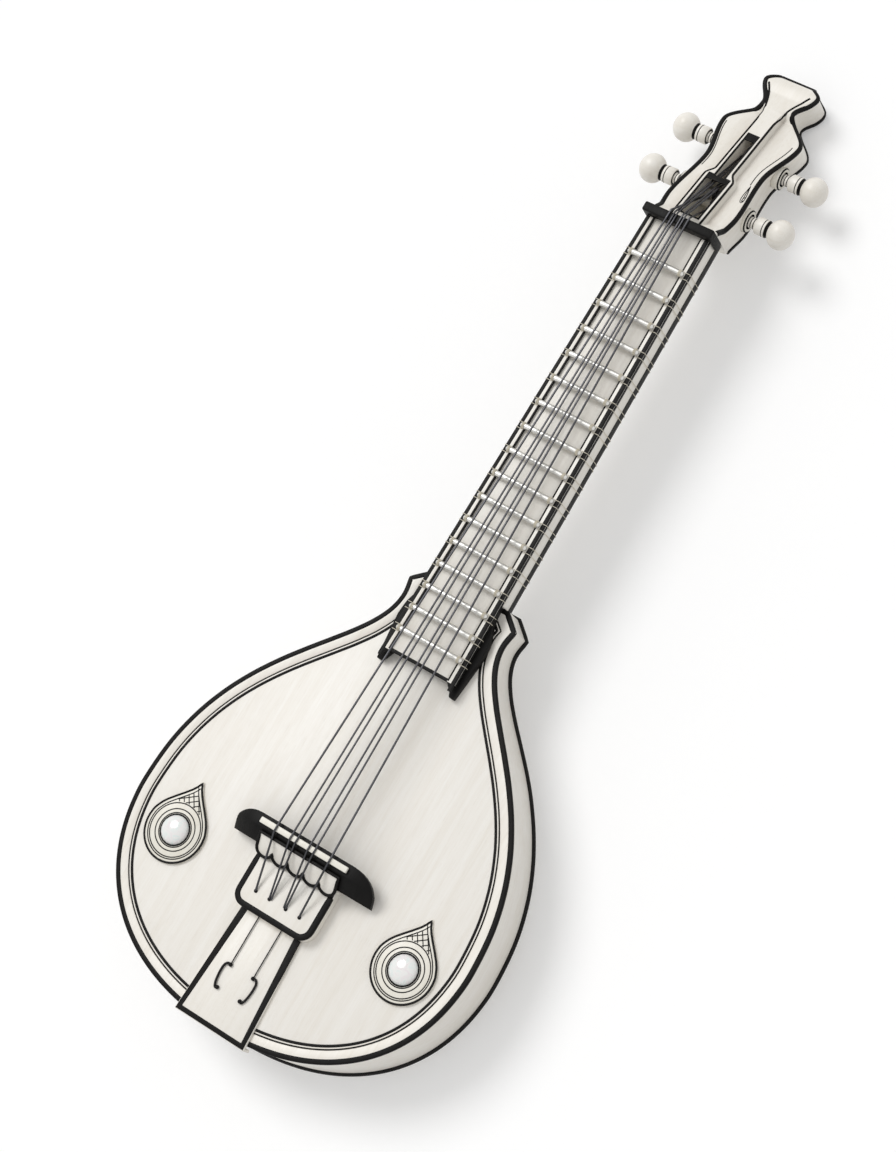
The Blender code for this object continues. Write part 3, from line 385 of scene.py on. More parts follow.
pearl, tree, shader, spot = start_finish("pearl_finish")
layers = noise(tree, 120.0, 3.0, Vector=spot, Distortion=1.6)
sheen = put(tree, "ShaderNodeValToRGB", {"Fac": layers})["Color"]
stops = sheen.node.color_ramp.elements
stops[0].color, stops[-1].color = colour(0.84, 0.78, 0.80), colour(0.74, 0.84, 0.83)
for stop, tone in ((0.3, (0.86, 0.80, 0.81)), (0.5, (0.88, 0.875, 0.85)), (0.7, (0.77, 0.85, 0.83))):
    stops.new(stop).color = colour(*tone)
feed(tree, shader, {
    "Base Color": sheen, "Roughness": spread(tree, layers, 0.3, 0.7, 0.12, 0.24),
    "Coat Weight": 0.8, "Coat Roughness": 0.05,
})
print("finishes: nickel silver, steel, iron, pearl")

# %% [markdown]
# ## Reading shapes from the frame
#
# Trim has to follow the edges of the solids exactly. The edge of a flat face can be read from the solid:
# take the faces that look one way, and walk round the edges that only one of them owns. The CAD outline is
# made of straight chords, so a smooth curve is laid through its points before anything is built on it.

# %% Edges of a solid
UP = Vector((0.0, 0.0, 1.0))


def merged(node):
    """A working copy of a solid whose loose triangles are joined."""
    bm = bmesh.new()
    bm.from_mesh(nodes[node].data)
    bmesh.ops.remove_doubles(bm, verts=bm.verts, dist=1e-5)
    bm.normal_update()
    return bm


def rims(node, facing=UP, least=0.995):
    """Closed edges of the faces of a solid that look one way, longest first."""
    bm = merged(node)
    chosen = {face for face in bm.faces if face.normal.dot(facing) > least}
    following = {}
    for face in chosen:
        for corner in face.loops:
            if sum(near in chosen for near in corner.edge.link_faces) == 1:
                following[corner.vert] = corner.link_loop_next.vert
    loops = []
    while following:
        at = min(following, key=lambda vert: vert.index)
        loop = []
        while at in following:
            loop.append(at.co.copy())
            at = following.pop(at)
        loops.append(loop)
    bm.free()
    return sorted(loops, key=len, reverse=True)


def round_trip(points):
    """Length of a closed line."""
    return sum((a - b).length for a, b in zip(points, points[1:] + points[:1]))


def from_tail(loop):
    """The same loop, started at its lowest y and led round by the right."""
    first = min(range(len(loop)), key=lambda place: (round(loop[place].y, 5), abs(loop[place].x)))
    loop = loop[first:] + loop[:first]
    if sum(point.x for point in loop[:len(loop) // 2]) < 0:
        loop = [loop[0]] + loop[:0:-1]
    return loop


def edges_by_length(node):
    """The edges of a solid's upper face, each started at the tail, the shortest first."""
    return sorted((from_tail(loop) for loop in rims(node)), key=round_trip)


body_edge = edges_by_length("rim_binding")[-1]
print(f"body edge: {len(body_edge)} points, {round_trip(body_edge):.3f} m round")

# %% Smoothing and moving an edge
def corners(loop, least=24):
    """Places in a closed loop where it turns sharply, or where a curve meets a straight."""
    sharp = set()
    for place, point in enumerate(loop):
        before = point - loop[place - 1]
        after = loop[(place + 1) % len(loop)] - point
        uneven = max(before.length, after.length) > 3 * min(before.length, after.length)
        if uneven or before.angle(after, 0.0) > math.radians(least):
            sharp.add(place)
    return sharp


def smooth(loop, sharp, steps=5):
    """A curve through the points of a closed loop that keeps its sharp corners."""
    count = len(loop)
    fine = []
    for place in range(count):
        a, b = loop[place], loop[(place + 1) % count]
        before = 2 * a - b if place in sharp else loop[place - 1]
        after = 2 * b - a if (place + 1) % count in sharp else loop[(place + 2) % count]
        for step in range(steps):
            t = step / steps
            lead = (b - before) * 0.5
            trail = (after - a) * 0.5
            bulge = (2 * t ** 3 - 3 * t ** 2 + 1) * a + (t ** 3 - 2 * t ** 2 + t) * lead
            fine.append(bulge + (3 * t ** 2 - 2 * t ** 3) * b + (t ** 3 - t ** 2) * trail)
    return fine


def inset(loop, amount):
    """A closed level loop moved inwards, the corners mitred."""
    count = len(loop)
    turning = sum(loop[i - 1].x * loop[i].y - loop[i].x * loop[i - 1].y for i in range(count))
    side = 1.0 if turning > 0 else -1.0
    moved = []
    for place, point in enumerate(loop):
        before = (point - loop[place - 1]).xy.normalized()
        after = (loop[(place + 1) % count] - point).xy.normalized()
        lean = (before + after).normalized()
        square = Vector((-lean.y, lean.x)) * side
        reach = amount / max(0.5, Vector((-before.y, before.x)).dot(square) * side)
        moved.append(Vector((point.x + square.x * reach, point.y + square.y * reach, point.z)))
    return moved


def at_height(loop, z):
    """A loop laid level at one height."""
    return [Vector((point.x, point.y, z)) for point in loop]


print("edge helpers ready")

# %% [markdown]
# ## Finishing helpers
#
# A finished piece is a mesh in its true place on an object at the origin. Its faces are shaded smooth
# except over real corners. It rides on a body of the frame and hides the solid it stands for, if any.
# Sharp CAD corners get a small bevel, because real ones catch light.

# %% Piece and bevel helpers
def piece(name, mesh, body, solids=(), sharp=35):
    """Put a finished mesh in the scene and tie it to the frame."""
    mesh.name = name
    mesh.shade_smooth()
    mesh.set_sharp_from_angle(angle=math.radians(sharp))
    made = added(name, mesh)
    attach(made, body)
    if solids:
        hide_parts(*solids)
    return made


def evaluated(carrier):
    """The plain mesh that an object's modifiers make; the object goes away."""
    bpy.context.view_layer.update()
    graph = bpy.context.evaluated_depsgraph_get()
    mesh = bpy.data.meshes.new_from_object(carrier.evaluated_get(graph), depsgraph=graph)
    bpy.data.objects.remove(carrier, do_unlink=True)
    return mesh


def eased_edges(mesh, width, segments=2, angle=30):
    """Bevel the sharp edges of a mesh."""
    carrier = added("bevel_work", mesh)
    bevel = carrier.modifiers.new("bevel", "BEVEL")
    bevel.width = width
    bevel.segments = segments
    bevel.limit_method = "ANGLE"
    bevel.angle_limit = math.radians(angle)
    return evaluated(carrier)


def finer(node, finish, width, segments=2):
    """A copy of a solid with flat faces joined, eased edges and a finish."""
    bm = merged(node)
    bmesh.ops.dissolve_limit(bm, angle_limit=math.radians(0.4), verts=bm.verts, edges=bm.edges)
    mesh = as_mesh(bm, finish)
    return eased_edges(mesh, width, segments) if width else mesh


print("piece helpers ready")

# %% Skins and slabs
def across(bm, row):
    """Close a symmetric ring with strips from side to side, so that it may rise and fall."""
    count = len(row)
    bm.faces.new((row[0], row[1], row[-1]))
    for place in range(1, count // 2):
        bm.faces.new((row[place], row[place + 1], row[count - place - 1], row[count - place]))


def lofted(rings, finish, closed=False, strips=False):
    """Skin over rings of equal count; the ends are capped, or joined to each other."""
    bm = bmesh.new()
    rows = [[bm.verts.new(point) for point in ring] for ring in rings]
    pairs = list(zip(rows, rows[1:])) + ([(rows[-1], rows[0])] if closed else [])
    for lower, upper in pairs:
        for place in range(len(lower)):
            bm.faces.new((lower[place - 1], lower[place], upper[place], upper[place - 1]))
    for row in () if closed else (rows[0], rows[-1]):
        if strips:
            across(bm, row)
        else:
            bm.faces.new(row)
    bmesh.ops.recalc_face_normals(bm, faces=bm.faces)
    return as_mesh(bm, finish)


def slab(node, outline, finish, width):
    """A flat slab with a finer outline and eased edges, as high as a solid."""
    low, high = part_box(node)
    return eased_edges(lofted([at_height(outline, z) for z in (low.z, high.z)], finish), width)


print("skin helpers ready")

# %% [markdown]
# ## Bowl
#
# The bowl of a sitar is a dried gourd, or on flat-backed ones a shell glued up from thin wood. Here it has
# upright sides that turn under in a quarter round to a flat back, and the back sweeps up to meet the neck.
# The top edge is read from the solid. Every lower ring is that edge drawn in and lifted by a rule, and
# strips from side to side close the back, because a single large face could not follow the sweep.

# %% Bowl
BOWL_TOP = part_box("body_bowl")[1].z
BOWL_ROUND, BOWL_WALL, ROUND_STEPS = 0.028, 0.005, 10
BACK_SWEEP = ((0.150, 0.0), (0.280, 0.046))
bowl_rims = [loop for loop in edges_by_length("body_bowl") if abs(loop[0].z - BOWL_TOP) < 1e-4]
bowl_inner, bowl_outer = bowl_rims
body_corners = corners(bowl_outer)


def eased(knots, place):
    """A size read from a template, level at each knot."""
    for (start, first), (end, last) in zip(knots, knots[1:]):
        if place <= end:
            share = max(0.0, (place - start) / (end - start))
            return first + (last - first) * share * share * (3 - 2 * share)
    return knots[-1][1]


def quarter(steps):
    """Angles from nothing to a right angle in even steps."""
    return [math.radians(90) * step / steps for step in range(steps + 1)]


def drawn_in(loop, amount):
    """The bowl's edge moved inwards; its shoulders only move sideways."""
    moved = []
    waist = min(body_corners) - 1
    for place, point in enumerate(loop):
        along = loop[(place + 1) % len(loop)] - loop[place - 1]
        inward = Vector((-along.y, along.x, 0.0)).normalized()
        if waist <= place <= len(loop) - waist:
            inward = Vector((-math.copysign(1.0, point.x), 0.0, 0.0))
        moved.append(point + inward * amount)
    return moved


outer_line = smooth(bowl_outer, body_corners)
back_line = smooth(drawn_in(bowl_outer, BOWL_ROUND), body_corners)
inner_line = smooth(bowl_inner, body_corners)
floor_line = smooth(drawn_in(bowl_inner, BOWL_ROUND - BOWL_WALL), body_corners)


def swept_up(loop, z):
    """A loop laid at one height of the bowl, lifted where the back sweeps up."""
    return [Vector((p.x, p.y, z + eased(BACK_SWEEP, p.y) * (1 - z / BOWL_TOP))) for p in loop]


def bowl_ring(z):
    """The bowl's outer skin at one height."""
    share = math.sqrt(max(0.0, 1 - (1 - min(z, BOWL_ROUND) / BOWL_ROUND) ** 2))
    return swept_up([low.lerp(top, share) for low, top in zip(back_line, outer_line)], z)


rings = [bowl_ring(BOWL_ROUND * (1 - math.cos(swing))) for swing in quarter(ROUND_STEPS)]
rings += [bowl_ring(BOWL_TOP), inner_line]
rings += [swept_up(inner_line, BOWL_ROUND), swept_up(floor_line, BOWL_WALL)]
bowl = piece("bowl", lofted(rings, pale_wood, strips=True), "body", ["body_bowl"])
print(f"bowl: {len(bowl.data.polygons)} faces, corners at {sorted(body_corners)}")

# %% [markdown]
# ## Lines along a path
#
# Makers let thin strips of ebony, called stringing or binding, into the edges of an instrument. All of
# them are one rule: a small rounded bar that follows a path. That is a job for Geometry Nodes: the path
# comes in as bare edges, becomes a curve, and a rounded rectangle is swept along it.

# %% Stringing tree
def open_tree(name, sizes):
    """A new geometry tree that takes a path, named sizes and a finish."""
    tree = bpy.data.node_groups.new(name, "GeometryNodeTree")
    tree.interface.new_socket("Path", in_out="INPUT", socket_type="NodeSocketGeometry")
    for label, kind in sizes:
        tree.interface.new_socket(label, in_out="INPUT", socket_type=f"NodeSocket{kind}")
    tree.interface.new_socket("Finish", in_out="INPUT", socket_type="NodeSocketMaterial")
    tree.interface.new_socket("Piece", in_out="OUTPUT", socket_type="NodeSocketGeometry")
    return tree, tree.nodes.new("NodeGroupInput").outputs, tree.nodes.new("NodeGroupOutput")


def close_tree(tree, shape, ends, out):
    """Make instances real, give the finish and end the tree."""
    real = put(tree, "GeometryNodeRealizeInstances", {"Geometry": shape})["Geometry"]
    done = put(tree, "GeometryNodeSetMaterial", {"Geometry": real, "Material": ends["Finish"]})
    feed(tree, out, {"Piece": done["Geometry"]})


def as_curve(tree, ends):
    """The path as a curve."""
    return put(tree, "GeometryNodeMeshToCurve", {"Mesh": ends["Path"]})["Curve"]


def swept(tree, curve, profile):
    """A profile swept along a curve, the ends closed."""
    sweep = {"Curve": curve, "Profile Curve": profile, "Fill Caps": True}
    return put(tree, "GeometryNodeCurveToMesh", sweep)["Mesh"]


stringing, ends, out = open_tree("stringing", (("Width", "Float"), ("Height", "Float"), ("Round", "Float")))
level = put(stringing, "GeometryNodeSetCurveNormal", {"Curve": as_curve(stringing, ends)}, mode="Z_UP")
sides = {"Width": ends["Width"], "Height": ends["Height"]}
bar = put(stringing, "GeometryNodeCurvePrimitiveQuadrilateral", sides)
fillet = {"Curve": bar["Curve"], "Radius": ends["Round"], "Count": 3}
bar = put(stringing, "GeometryNodeFilletCurve", fillet, mode="POLY")
close_tree(stringing, swept(stringing, level["Curve"], bar["Curve"]), ends, out)
print("tree: stringing")

# %% Laying a line
PROUD = 0.0004
BINDING, BINDING_DEPTH = 0.0056, 0.0040
BEAD, BEAD_HEIGHT = 0.0064, 0.0255


def rounds(*paths):
    """Paths that close on themselves."""
    return [(path, True) for path in paths]


def runs(*paths):
    """Paths with two free ends."""
    return [(path, False) for path in paths]


def paths_mesh(paths):
    """Bare edges for some paths, each a list of points and whether it closes."""
    points, edges = [], []
    for path, closes in paths:
        first = len(points)
        points += [tuple(point) for point in path]
        edges += [(first + i, first + i + 1) for i in range(len(path) - 1)]
        if closes:
            edges.append((first + len(path) - 1, first))
    mesh = bpy.data.meshes.new("paths")
    mesh.from_pydata(points, edges, [])
    return mesh


def grown(tree, paths, finish, **sizes):
    """Run a geometry tree on some paths and return the plain mesh."""
    carrier = added("grow_work", paths_mesh(paths))
    modifier = carrier.modifiers.new(tree.name, "NODES")
    modifier.node_group = tree
    values = {"Finish": finish, **sizes}
    for item in tree.interface.items_tree:
        if item.in_out == "INPUT" and item.name in values:
            modifier[item.identifier] = values[item.name]
    bm = bmesh.new()
    bm.from_mesh(evaluated(carrier))
    bmesh.ops.recalc_face_normals(bm, faces=bm.faces)
    for face in bm.faces:
        face.material_index = 0
    return as_mesh(bm, finish)


def line(name, paths, width, height, ease=0.3):
    """Ebony stringing along some paths as a finished piece."""
    mesh = grown(stringing, paths, ebony, Width=width, Height=height, Round=ease * min(width, height))
    return piece(name, mesh, "body")


TOP_FACE = body_edge[0].z
top_line = smooth(body_edge, corners(body_edge))
edge_path = at_height(inset(top_line, BINDING / 2 - PROUD), TOP_FACE - BINDING_DEPTH / 2 + PROUD)
line("rim_edge_line", rounds(edge_path), BINDING, BINDING_DEPTH)
line("back_edge_bead", rounds(bowl_ring(BEAD_HEIGHT)), BEAD, BEAD, ease=0.5)
print("stringing: rim edge line and back edge bead")

# %% [markdown]
# ## Rim band, purfling and soundboard
#
# Round the soundboard runs a pale band, then the purfling: a thin and a thick dark line with a pale line
# between. On a real instrument these are strips of veneer glued into a groove, where they also keep the edge
# from splitting. The soundboard itself is the palest wood, with close straight grain.

# %% Rim, purfling, soundboard
VENEER_EASE = 0.0004
THIN, THICK = 0.0013, 0.0028
LINE_SINK, LINE_LAP = 0.0003, 0.0003


def flat_band(name, node):
    """A flat ring between the two edges of a solid; returns its edges."""
    low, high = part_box(node)
    inner, outer = (smooth(loop, corners(loop)) for loop in edges_by_length(node))
    spots = ((outer, low.z), (outer, high.z), (inner, high.z), (inner, low.z))
    mesh = lofted([at_height(loop, z) for loop, z in spots], pale_wood, closed=True)
    piece(name, eased_edges(mesh, VENEER_EASE), "body", [node])
    return inner, outer


flat_band("rim_band", "rim_binding")
purfling_inner, purfling_outer = flat_band("purfling_ground", "purfling")
thin_path = at_height(inset(purfling_outer, THIN / 2), TOP_FACE - LINE_SINK)
thick_path = at_height(inset(purfling_inner, LINE_LAP - THICK / 2), TOP_FACE - LINE_SINK)
line("purfling_thin_line", rounds(thin_path), THIN, height=0.0012)
line("purfling_thick_line", rounds(thick_path), THICK, height=0.0014)

board_edge = from_tail(rims("soundboard")[0])
top = slab("soundboard", smooth(board_edge, corners(board_edge)), top_wood, VENEER_EASE)
piece("soundboard_top", top, "body", ["soundboard"])
print("top: rim band, two purfling lines, soundboard")

# %% [markdown]
# ## Hidden solids
#
# Lining, braces and blocks are glued inside the bowl where nobody sees them, but they are part of the
# model. Their solids are right as they are, so they only get the wood they are made of.

# %% Hidden solids
for hidden in ("rim_liner", "brace_lower", "brace_upper", "neck_block", "tail_block"):
    nodes[hidden].data.materials.clear()
    nodes[hidden].data.materials.append(pale_wood)
print("hidden: liner, braces, blocks")

# %% [markdown]
# ## Neck, fingerboard and rails
#
# The hollow neck carries a thin board. Its edges are bound in ebony, and along each edge runs a raised
# pale rail on which the fret ends lie, with a dark line on either side. The sides of the board are seen
# edge-on, so faces that look sideways take ebony, and the top keeps the pale wood.

# %% Neck and board
HANDS = {-1: "left", 1: "right"}
board_low, board_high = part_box("fingerboard")
BOARD_END, BOARD_TOP = board_low.y, board_high.y


def two_toned(mesh, face_finish, side_finish, least=0.6):
    """Give faces that look up one finish and all others the second."""
    mesh.materials.clear()
    mesh.materials.append(face_finish)
    mesh.materials.append(side_finish)
    for face in mesh.polygons:
        face.material_index = 0 if face.normal.z > least else 1
    return mesh


def rail_with_tip(node):
    """A rail, pale on top as far as the board reaches and ebony on its sides and its tip."""
    bm = bmesh.new()
    bm.from_mesh(finer(node, pale_wood, 0.0005))
    whole = bm.verts[:] + bm.edges[:] + bm.faces[:]
    bmesh.ops.bisect_plane(bm, geom=whole, plane_co=(0.0, BOARD_END, 0.0), plane_no=(0.0, 1.0, 0.0))
    mesh = two_toned(as_mesh(bm), pale_wood, ebony)
    for face in mesh.polygons:
        if face.center.y < BOARD_END:
            face.material_index = 1
    return mesh


piece("neck_shell", finer("neck", pale_wood, 0.0012, 3), "body", ["neck"])
board = two_toned(finer("fingerboard", pale_wood, 0.0005), pale_wood, ebony)
piece("fingerboard_face", board, "body", ["fingerboard"])
for hand in HANDS.values():
    rail = f"edge_rail_{hand}"
    piece(f"board_rail_{hand}", rail_with_tip(rail), "body", [rail])
foot_edge = rims("board_foot")[0]
foot = slab("board_foot", smooth(foot_edge, corners(foot_edge), 4), ebony, 0.0008)
piece("board_foot_wedge", foot, "body", ["board_foot"])
piece("nut_block", finer("nut", ebony, 0.0016, 3), "body", ["nut"])
print("neck: shell, board, rails, foot, nut")

# %% [markdown]
# ## Lines of the board
#
# The dark lines beside the rails are stringing again, and so is the line across the board's lower end. The
# broad dark band along the neck, where its side turns under to its back, follows that turn instead, so it
# is skinned between two sections of its own.

# %% Board lines
RAIL_TIP, RAIL_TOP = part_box("edge_rail_left")[0].y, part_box("edge_rail_left")[1].z
RAIL_WIDTH = 0.009
OUTER_LINE, OUTER_SINK, OUTER_PROUD, TIP_CLEAR = 0.0044, 0.0008, 0.0002, 0.0015
INNER_LINE, INNER_SINK, END_CLEAR = 0.0018, 0.0004, 0.001
END_LINE, END_SINK, RAIL_GAP = 0.0036, 0.0006, 0.0003
NUT_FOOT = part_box("nut")[0].y - 0.0004
NECK_START, NECK_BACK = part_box("neck")[0].y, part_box("neck")[0].z
NECK_TOP, NECK_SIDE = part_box("neck")[1].z, 0.022
BAND_SINK, BAND_RISE, BAND_CLEAR = 0.0010, 0.0062, 0.0005
nut_corner = max(v.co.x for v in nodes["fingerboard"].data.vertices if v.co.y > BOARD_TOP - 1e-4)


def board_half(y):
    """Half the width of the board at a place along the neck."""
    share = (y - BOARD_END) / (BOARD_TOP - BOARD_END)
    return board_high.x + (nut_corner - board_high.x) * share


def beside_rails(inwards, start, z):
    """A path along each edge of the board, some way in from it."""
    return runs(*(
        [Vector((side * (board_half(y) - inwards), y, z)) for y in (start, NUT_FOOT)] for side in HANDS
    ))


outer_paths = beside_rails(OUTER_LINE / 2 - OUTER_PROUD, RAIL_TIP + TIP_CLEAR, RAIL_TOP - OUTER_SINK)
inner_paths = beside_rails(RAIL_WIDTH - INNER_LINE / 2, BOARD_END + END_CLEAR, RAIL_TOP - INNER_SINK)
line("board_outer_lines", outer_paths, OUTER_LINE, height=0.0020)
line("board_inner_lines", inner_paths, INNER_LINE, height=0.0011)
reach = board_half(BOARD_END) - RAIL_WIDTH - RAIL_GAP
end_path = [Vector((x, BOARD_END + END_LINE / 2 - PROUD, board_high.z - END_SINK)) for x in (-reach, reach)]
line("board_end_line", runs(end_path), END_LINE, height=0.0020)


def neck_band(y, side):
    """Section of the band where the neck's side turns under to its back."""
    section = []
    for proud, swings in ((PROUD, range(-4, 21, 4)), (-BAND_SINK, range(20, -5, -4))):
        for swing in swings:
            angle = math.radians(max(0, swing))
            drop = (NECK_TOP - NECK_SIDE - NECK_BACK + proud) * math.sin(angle)
            rise = BAND_RISE if swing < 0 else 0.0
            x = (board_half(y) + proud) * math.cos(angle)
            section.append(Vector((side * x, y, NECK_TOP - NECK_SIDE + rise - drop)))
    return section


for side, hand in HANDS.items():
    rings = [neck_band(y, side) for y in (NECK_START + BAND_CLEAR, BOARD_TOP - BAND_CLEAR)]
    piece(f"neck_band_{hand}", lofted(rings, ebony), "body")
print("neck: outer, inner and end lines of the board, two side bands")

# %% [markdown]
# ## Round wire
#
# Frets, strings, threads and the tail wires are all round wire on a path. A second tree sweeps a circle
# along the path and can put a ball on each free end, which is how a filed fret or a turned hook ends.

# %% Wire tree
def round_bar(tree, sides, radius):
    """A circle to sweep."""
    return put(tree, "GeometryNodeCurvePrimitiveCircle", {"Resolution": sides, "Radius": radius})["Curve"]


wire, ends, out = open_tree("round_wire", (("Radius", "Float"), ("Sides", "Int"), ("Ball", "Float")))
curve = as_curve(wire, ends)
stem = swept(wire, curve, round_bar(wire, ends["Sides"], ends["Radius"]))
tips = put(wire, "GeometryNodeCurveEndpointSelection")["Selection"]
globe = {"Segments": ends["Sides"], "Rings": 8, "Radius": ends["Ball"]}
ball = put(wire, "GeometryNodeMeshUVSphere", globe)["Mesh"]
balls = put(wire, "GeometryNodeInstanceOnPoints", {"Points": curve, "Selection": tips, "Instance": ball})
both = put(wire, "GeometryNodeJoinGeometry")["Geometry"]
for part in (stem, balls["Instances"]):
    feed(wire, both.node, {"Geometry": part})
close_tree(wire, both, ends, out)
print("tree: round wire")

# %% [markdown]
# ## Frets
#
# A sitar's frets are stout arched rods that are only tied on, so that a player can slide them. Each rod
# and its threads ride on the fret's own body. The thread goes over the rod's ends in a few turns and round
# the neck; over the body, where the neck can't be reached, it is tucked under the edge of the board.

# %% Thread turns tree
turns, ends, out = open_tree(
    "thread_turns", (("Radius", "Float"), ("Count", "Int"), ("Step", "Vector"), ("First", "Vector"))
)
strand = swept(turns, as_curve(turns, ends), round_bar(turns, 6, ends["Radius"]))
spacing = {"Count": ends["Count"], "Start Location": ends["First"], "Offset": ends["Step"]}
row = put(turns, "GeometryNodeMeshLine", spacing, mode="OFFSET")["Mesh"]
laid = put(turns, "GeometryNodeInstanceOnPoints", {"Points": row, "Instance": strand})["Instances"]
close_tree(turns, laid, ends, out)
print("tree: thread turns")

# %% Paths of a fret
FRETS = sorted(name for name in nodes if name.startswith("fret_"))
ROD, ARCH_STEPS = 0.003, 16
THREAD, THREAD_CLEAR, BODY_CLEAR = 0.00035, 0.0010, 0.012
RAIL_LIFT, END_BACK, RAIL_BEND = 0.0002, 0.002, 0.0008
TUCK_RISE, TUCK_IN = 0.0012, 0.0009
LASHINGS, LASHING_STEP, LASHING_BACK, LASHING_LIFT = 4, 0.00075, 0.0028, 0.0003


def joined(meshes):
    """Several meshes of one finish as one."""
    bm = bmesh.new()
    for mesh in meshes:
        bm.from_mesh(mesh)
    return as_mesh(bm, meshes[0].materials[0])


def rod_path(low, high):
    """The arched middle line of a fret."""
    half = high.x - ROD
    foot, crown = low.z + ROD, high.z - ROD
    shares = [2 * step / ARCH_STEPS - 1 for step in range(ARCH_STEPS + 1)]
    middle = (low.y + high.y) / 2
    return [Vector((half * share, middle, crown - (crown - foot) * share ** 2)) for share in shares]


def thread_paths(y, fret_half):
    """A thread from one rail, round the neck's back where there is one, to the other."""
    wide = board_half(y) + THREAD_CLEAR
    on_rail = RAIL_TOP + THREAD + RAIL_LIFT
    right = [(fret_half - END_BACK, on_rail), (wide - RAIL_BEND, on_rail), (wide, on_rail - RAIL_BEND)]
    if y > NECK_START + BODY_CLEAR:
        side = NECK_TOP - NECK_SIDE
        deep = side - NECK_BACK + THREAD_CLEAR
        right += [(wide * math.cos(swing), side - deep * math.sin(swing)) for swing in quarter(12)]
        left = [(-x, z) for x, z in reversed(right[:-1])]
        return [[Vector((x, y, z)) for x, z in right + left]]
    right += [(wide, board_low.z + TUCK_RISE), (wide - TUCK_IN, board_low.z + TUCK_RISE / 2)]
    return [[Vector((side * x, y, z)) for x, z in right] for side in HANDS]


def saddle_path(y, z):
    """One turn of thread over a rod."""
    reach = ROD + THREAD
    swings = [math.radians(200) * (step / 8 - 0.5) for step in range(9)]
    return [Vector((0.0, y + reach * math.sin(swing), z + reach * math.cos(swing))) for swing in swings]


print(f"paths for {len(FRETS)} frets ready")

# %% Frets and their threads
for fret in FRETS:
    low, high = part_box(fret)
    y = (low.y + high.y) / 2
    rod = grown(wire, runs(rod_path(low, high)), nickel_silver, Radius=ROD, Sides=16, Ball=ROD)
    piece(f"{fret}_rod", rod, fret, [fret])
    threads = [grown(
        turns, runs(*thread_paths(y, high.x)), silk, Radius=THREAD, Count=2,
        Step=(0.0, 2 * (ROD + THREAD), 0.0), First=(0.0, -ROD - THREAD, 0.0),
    )]
    for side in HANDS:
        threads.append(grown(
            turns, runs(saddle_path(y, low.z + ROD)), silk, Radius=THREAD, Count=LASHINGS,
            Step=(-side * LASHING_STEP, 0.0, 0.0), First=(side * (high.x - LASHING_BACK), 0.0, LASHING_LIFT),
        ))
    piece(f"{fret}_threads", joined(threads), fret)
print(f"frets: {len(FRETS)} rods with threads")

# %% [markdown]
# ## Strings
#
# Two single strings lie outside and two pairs between them. They run from the holder over the bridge and
# the nut down into the head. The points of each path are the CAD's own. Turns of each string are wound on
# the peg shaft; these ride on the peg, so that they turn with it. A winding is drawn a little thinner than
# its string, so that those on shafts that cross stay clear of each other.

# %% Measures of the strings
SEAT, PAST_NUT, HOLDER_END = 0.0011, 0.0008, -0.0613
AT_HOLDER, OVER_BRIDGE, OVER_NUT = (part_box(n)[1].z + SEAT for n in ("string_holder", "bridge_top", "nut"))
BRIDGE_BACK, BRIDGE_FRONT = (corner.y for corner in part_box("bridge_top"))
NUT_START, NUT_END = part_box("nut")[0].y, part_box("neck")[1].y + PAST_NUT
SHAFT, SHAFT_LIFT = 0.0045, 0.0056
THINNER, PITCH, WOUND_BACK, COIL_STEPS = 0.0002, 2.2, 0.0010, 14
# Each: distance from the middle line at holder, bridge, nut and peg, the peg's row, radius, turns wound.
OUTER = (0.0270, 0.0330, 0.0110, 0.0060, "lower", 0.0011, 3)
FAR = (0.0101, 0.0145, 0.0060, 0.0045, "upper", 0.0010, 1)
NEAR = (0.0079, 0.0075, 0.0030, 0.0015, "upper", 0.0010, 2)
STRINGS = [(-1, *OUTER), (-1, *FAR), (-1, *NEAR), (1, *NEAR), (1, *FAR), (1, *OUTER)]

PEGS = {}
for joint in frame["joints"]:
    if joint["type"] == "hinge":
        row, hand = joint["child"].split("_")[1:]
        PEGS[f"{row}_{hand}"] = (row, -1 if hand == "left" else 1, *joint["pos_m"][1:])
print(f"{len(STRINGS)} strings for the pegs {', '.join(PEGS)}")

# %% Strings
def winding(side, start, peg_y, peg_z, gauge, wound):
    """The path of some turns round a peg's shaft."""
    coil = []
    for step in range(wound * COIL_STEPS + 1):
        swing = math.radians(90) + 2 * math.pi * step / COIL_STEPS
        x = side * (start - PITCH * gauge * step / COIL_STEPS)
        reach = SHAFT + gauge
        coil.append(Vector((x, peg_y + reach * math.cos(swing), peg_z + reach * math.sin(swing))))
    return coil


windings, gauges = {name: [] for name in PEGS}, {}
for number, (side, holder, bridge, nut, peg, row, radius, wound) in enumerate(STRINGS, 1):
    peg_name = f"{row}_{HANDS[side]}"
    peg_y, peg_z = PEGS[peg_name][2:]
    route = (
        (holder, HOLDER_END, AT_HOLDER),
        (bridge, BRIDGE_BACK, OVER_BRIDGE), (bridge, BRIDGE_FRONT, OVER_BRIDGE),
        (nut, NUT_START, OVER_NUT), (nut, NUT_END, OVER_NUT),
        (peg, peg_y, peg_z + SHAFT_LIFT),
    )
    path = [Vector((side * x, y, z)) for x, y, z in route]
    mesh = grown(wire, runs(path), steel, Radius=radius, Sides=10, Ball=radius)
    piece(f"string_{number}_wire", mesh, "body", [f"string_{number}"])
    gauges[peg_name] = radius - THINNER
    windings[peg_name].append(winding(side, peg - WOUND_BACK, peg_y, peg_z, radius - THINNER, wound))
for name, coils in windings.items():
    mesh = grown(wire, runs(*coils), steel, Radius=gauges[name], Sides=8, Ball=gauges[name])
    piece(f"peg_{name}_winding", mesh, f"peg_{name}")
print(f"strings: {len(STRINGS)}, wound on {len(windings)} pegs")

